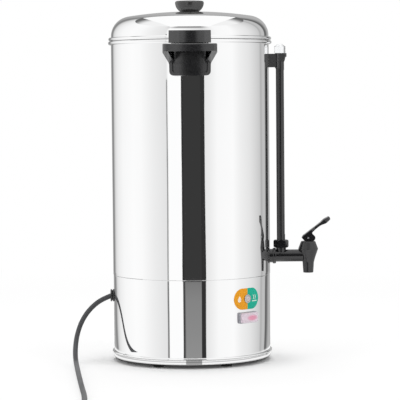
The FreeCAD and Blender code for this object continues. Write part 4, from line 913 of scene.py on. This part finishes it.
# %% [markdown]
# ## The rest of the model
# The hidden parts keep their own meshes and only get finishes: steel floor, heater, screws, seals, wires
# and the blocks inside the base.

# %% Finish the hidden parts
finishes = {
    inner_steel: ("tank_floor", "skirt_brackets", "element_clamp", "catch_rivets"),
    zinc: ("base_screws", "clamp_nuts", "gland_nut", "bracket_screw", "knob_screw", "handle_screws",
           "lever_pin"),
    aluminium: ("heat_plate",),
    heater_steel: ("heating_element", "tap_spring"),
    brass: ("plug_pins", "terminal_screws"),
    black_plastic: ("thermostat", "tap_locknut", "tap_stem"),
    white_plastic: ("terminal_block", "cutout_body"),
    rocker_red: ("reset_button",),
    seal_rubber: ("lid_seal", "tap_inner_seal", "seat_cup", "gauge_seal", "handle_seals"),
    wire_brown: ("inner_wires",),
}
for finish, names in finishes.items():
    for node in names:
        for slot in nodes[node].material_slots:
            slot.material = finish
        if not nodes[node].material_slots:
            nodes[node].data.materials.append(finish)
print("finished:", sum(len(names) for names in finishes.values()), "hidden parts")

# %% [markdown]
# ## What the lead is
# The lead stays one curve, because it is one soft piece and its length is a fact of its own. The model's
# stiff pieces of it are hidden.

curve.materials.append(cord_rubber)
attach(lead, "urn")
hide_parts("cord_lead", "cord_coil", "cord_tail")
print("lead declared, from", lead_run[0])

# %% [markdown]
# ## Floor and air
# A polished drum is a picture of its room, so floor and world have two jobs. They light the urn softly, and
# they look plain white to the camera. The floor mixes paint, which takes the urn's shadow, with a shine
# that only what is looked at shows. Close to the urn nearly all of it is paint, so the shadow stays.

# %% Scenery and its glow


def stage_piece(name, mesh, material, camera=False, diffuse=False, transmission=False, shadow=False):
    """Scenery, seen by mirror rays and by the rays that are named."""
    made = linked(name, mesh)
    mesh.materials.append(material)
    made.visible_camera = camera
    made.visible_diffuse = diffuse
    made.visible_transmission = transmission
    made.visible_shadow = shadow
    return made


class Glow(Graph):
    """Shines by a number, where 1 is white. It isn't sampled as a lamp, which would be noisy."""

    def __init__(self, name, strength=1.0):
        self.material = bpy.data.materials.new(name)
        self.material.use_nodes = True
        self.material.cycles.emission_sampling = "NONE"
        super().__init__(self.material.node_tree)
        self.tree.nodes.remove(self.tree.nodes["Principled BSDF"])
        self.surface = self.tree.nodes["Material Output"].inputs["Surface"]
        self.shine(strength)

    def shine(self, strength):
        self.feed(self.surface, self.node("ShaderNodeEmission", {}, {"Strength": strength}))


# %% Lay the floor
floor_half = 40.0


def floor_finish():
    """White paint that partly shines where it is looked at, and fully far from the urn."""
    floor = Glow("floor")
    paint = floor.node("ShaderNodeBsdfDiffuse", {}, {"Color": (0.93, 0.93, 0.93, 1.0)})
    glow = floor.node("ShaderNodeEmission", {}, {"Strength": 1.0})
    reach = distance(*floor.spot()[:2])
    share = (0.03 + 0.57 * reach.above(0.15, 0.06) + 0.4 * reach.above(0.8, 1.2)) * floor.looked_at()
    floor.feed(floor.surface, floor.node("ShaderNodeMixShader", {}, {0: share, 1: paint, 2: glow}))
    return floor.material


def flat(name, corners):
    """One level face through the corners."""
    mesh = bpy.data.meshes.new(name)
    mesh.from_pydata(corners, [], [tuple(range(len(corners)))])
    return mesh


def square(name, half, high):
    """A level square round the urn's axis."""
    return flat(name, [(-half, -half, high), (half, -half, high), (half, half, high), (-half, half, high)])


floor = stage_piece("floor", square("floor", floor_half, 0), floor_finish(), True, True, True, True)
floor.visible_glossy = False
print("floor", 2 * floor_half, "m wide")

# %% Light the air
ambient = 0.31
world = bpy.data.worlds.new("studio")
world.use_nodes = True
bpy.context.scene.world = world
air = Graph(world.node_tree)
sky = world.node_tree.nodes["Background"]
sky.inputs["Color"].default_value = (1.0, 1.0, 1.0, 1.0)
air.feed(sky.inputs["Strength"], ambient + (1 - ambient) * air.looked_at())
print("ambient light", ambient)

# %% [markdown]
# ## The tent
# Polished things are photographed in a tent of white cloth, so the steel mirrors cloth and not a room.
# An upright line on a drum mirrors one direction of the tent from top to bottom. So the cloth's brightness
# is a list of stops by direction, in degrees to the right of the camera, and two close stops are the
# edge of a cloth. The base ring mirrors what lies low and near, where the bright table would be, and
# the floor is hidden from mirrors. A low cone of cloth, the apron, stands there with stops of its own.

# %% The stops of tent and apron
tent_radius = 2.3
tent_low = -1.6
tent_high = 2.6
tent_left = ((-180, 0.45), (-163, 0.36), (-157, 0.22), (-150, 0.30), (-146, 0.58), (-140, 0.74),
             (-130, 0.86), (-114, 0.95), (-90, 0.99), (-75, 0.97), (-54, 0.86))
tent_front = ((-34, 0.78), (-31, 1.0), (-14, 1.0), (18, 0.80))
tent_right = ((27, 0.86), (38, 0.96), (62, 0.98), (75, 0.88), (93, 0.79), (107, 0.68), (118, 0.59),
              (122, 0.43), (128, 0.53), (136, 0.52), (138.5, 0.13), (144, 0.13), (151, 0.32), (158, 0.45),
              (180, 0.45))
apron_front = ((-35, 0.78), (-34.4, 0.2), (-32.6, 0.2), (-32, 1.0), (-13, 1.0), (-12.3, 0.05), (-10.6, 0.05),
               (-9.2, 0.2), (12.9, 0.2), (13.5, 0.03), (19, 0.03), (19.8, 0.8))
tent_stops = tent_left + tent_front + tent_right
apron_stops = tent_left + apron_front + tent_right
print("stops:", len(tent_stops), "on the tent,", len(apron_stops), "on the apron")

# %% The finish of the cloth
drum = shell_radius * mm
patch_left, patch_right, patch_low, patch_dark = -30.0, 24.0, 1.95, 0.72
stripe_left, stripe_right = -9.0, 13.2
pan_reach, pan_bright, pan_dark = 0.143, 0.96, 0.6


def stepped(value, stops):
    """A brightness that runs straight from stop to stop along a value."""
    glow = stops[0][1]
    for (before, dim), (after, bright) in zip(stops, stops[1:]):
        share = ((value - before) / (after - before)).larger(0.0).smaller(1.0)
        glow = glow + share * (bright - dim)
    return glow


def direction(x, y):
    """Degrees to the right of the camera, seen from the urn's axis."""
    return x.sum("ARCTAN2", x, -y) * (180 / math.pi)


def tent_cloth():
    """Brightness by direction alone, but for a dark soft patch high in front."""
    cloth = Glow("tent_cloth")
    x, y, z = cloth.spot()
    turn = direction(x, y)
    patch = turn.above(patch_left, 22.0) * turn.below(patch_right, 20.0) * z.above(patch_low, 0.7)
    cloth.shine(stepped(turn, tent_stops) * (1 - patch_dark * patch))
    return cloth.material


def apron_cloth():
    """The stops carried on over the table, where a mirror line turns less, and painted shade for the pan."""
    cloth = Glow("apron_cloth")
    x, y, z = cloth.spot()
    reach = distance(x, y)
    turn = direction(x, y) * (2 - drum / tent_radius) / (2 - drum / reach)
    stripe = turn.above(stripe_left, 1.0) * turn.below(stripe_right, 0.4)
    skirt = stepped(turn, apron_stops) * (1 + 0.75 * stripe * (0.7 - reach))
    # Painted shade: the apron is darker low by the pan's foot and in a thin band beside its edge, which the
    # pan mirrors as dark lines.
    painted_low_shade = 1 - 0.5 * z.below(0.0055, 0.004)
    painted_edge_shade = 1 - 0.45 * reach.below(0.1185, 0.004) * z.above(0.0085, 0.001)
    pan = (pan_bright - pan_dark * stripe) * painted_low_shade * painted_edge_shade
    cloth.shine(skirt + reach.below(pan_reach, 0.02) * (pan - skirt))
    return cloth.material


def ceiling_cloth():
    """Bright towards the camera and dim behind the urn."""
    cloth = Glow("ceiling_cloth")
    y = cloth.spot()[1]
    cloth.shine(0.14 + 0.76 * y.below(0.75, 1.3))
    return cloth.material


# %% Hang the cloth
tent_steps = 180
apron_steps = 120
flag_steps = 12
rim_steps = 60
pan_edge = 0.1127
shade_height = 0.0006


def curtain(name, rings, start, end, steps):
    """Cloth through rings of (radius, height), between two directions in degrees."""
    spots, faces = [], []
    for radius, high in rings:
        for i in range(steps + 1):
            turn = math.radians(start + (end - start) * i / steps)
            spots.append((radius * math.sin(turn), -radius * math.cos(turn), high))
    for ring in range(len(rings) - 1):
        for i in range(steps):
            a = ring * (steps + 1) + i
            faces.append((a, a + 1, a + steps + 2, a + steps + 1))
    mesh = bpy.data.meshes.new(name)
    mesh.from_pydata(spots, [], faces)
    return mesh


def standing(name, radius, start, end, low, high, steps):
    """An upright curtain."""
    return curtain(name, ((radius, low), (radius, high)), start, end, steps)


tent = standing("tent", tent_radius, -180, 180, tent_low, tent_high, tent_steps)
stage_piece("tent", tent, tent_cloth())
apron_rings = ((pan_edge, 0.003), (0.113, 0.009), (0.2, 0.0095), (0.32, 0.022), (0.46, 0.056), (0.73, 0.06))
stage_piece("apron", curtain("apron", apron_rings, -180, 180, apron_steps), apron_cloth())
stage_piece("ceiling", square("ceiling", tent_radius, tent_high), ceiling_cloth())
print("tent", tent_high - tent_low, "m high, apron out to", apron_rings[-1][0], "m")

# %% [markdown]
# ## Flags
# A flag is black cloth that a photographer puts in the tent to give a bright thing an outline. One stands
# before the urn, unseen by the camera, and gives the drum its dark stripe. A slightly paler strip hangs
# just inside it, and a thin grey flag makes the fine line to the left. A bright box hangs over the lid,
# and a dark disc lies under the pan, so that the gap there stays dark.

# %% Flags, soft box and the shade under the pan
flag_low = -1.0
flags = (("flag", 1.36, -13.1, 19.2, 0.95, 0.03), ("flag_face", 1.35, -10.6, 13.2, 0.95, 0.039),
         ("thin_flag", 2.2, -34.3, -32.6, 0.55, 0.3))
for name, radius, left, right, top, glow in flags:
    cloth = standing(name, radius, left, right, flag_low, top, flag_steps)
    stage_piece(name, cloth, Glow(name, glow).material)

box_height = 2.0
box_outline = ((-1.0, -1.6), (-0.9, 0.1), (-0.74, 1.4), (0.74, 1.4), (0.9, 0.1), (1.0, -1.6))
soft_box = flat("soft_box", [(x, y, box_height) for x, y in box_outline])
stage_piece("soft_box", soft_box, Glow("soft_box", 1.0).material)

ways = [math.tau * i / rim_steps for i in range(rim_steps)]
shade_rim = [(pan_edge * math.sin(way), pan_edge * math.cos(way), shade_height) for way in ways]
stage_piece("under_shade", flat("under_shade", shade_rim), Glow("under_shade", 0.02).material)
print("flags:", len(flags))

# %% [markdown]
# ## Lamps
# Mirrors need only the tent, but plastic, rubber and the label need light that falls on them. Two soft
# boxes in front and one above give it, wide enough for soft shadows. Mirrors don't show them.

# %% Hang the lamps
lamp_high = 1.8
lamps = (("left_lamp", (-1.9, -1.3, 1.0), 0.3, 1.4, 21), ("right_lamp", (1.9, -1.5, 1.1), 0.3, 1.4, 24),
         ("top_lamp", (0, 0.35, 2.1), 0.2, 1.8, 36))


def soft_lamp(name, place, aim_height, wide, power):
    """A softbox lamp aimed at the urn's axis, that mirrors don't show because the tent stands for it."""
    data = bpy.data.lights.new(name, "AREA")
    data.shape = "RECTANGLE"
    data.size = wide
    data.size_y = lamp_high
    data.energy = power
    made = bpy.data.objects.new(name, data)
    bpy.context.scene.collection.objects.link(made)
    way = Vector((0, 0, aim_height)) - Vector(place)
    made.matrix_world = Matrix.Translation(place) @ way.to_track_quat("-Z", "Y").to_matrix().to_4x4()
    made.visible_glossy = False


for lamp in lamps:
    soft_lamp(*lamp)
print("lamps:", len(lamps), "with", sum(lamp[-1] for lamp in lamps), "watts")
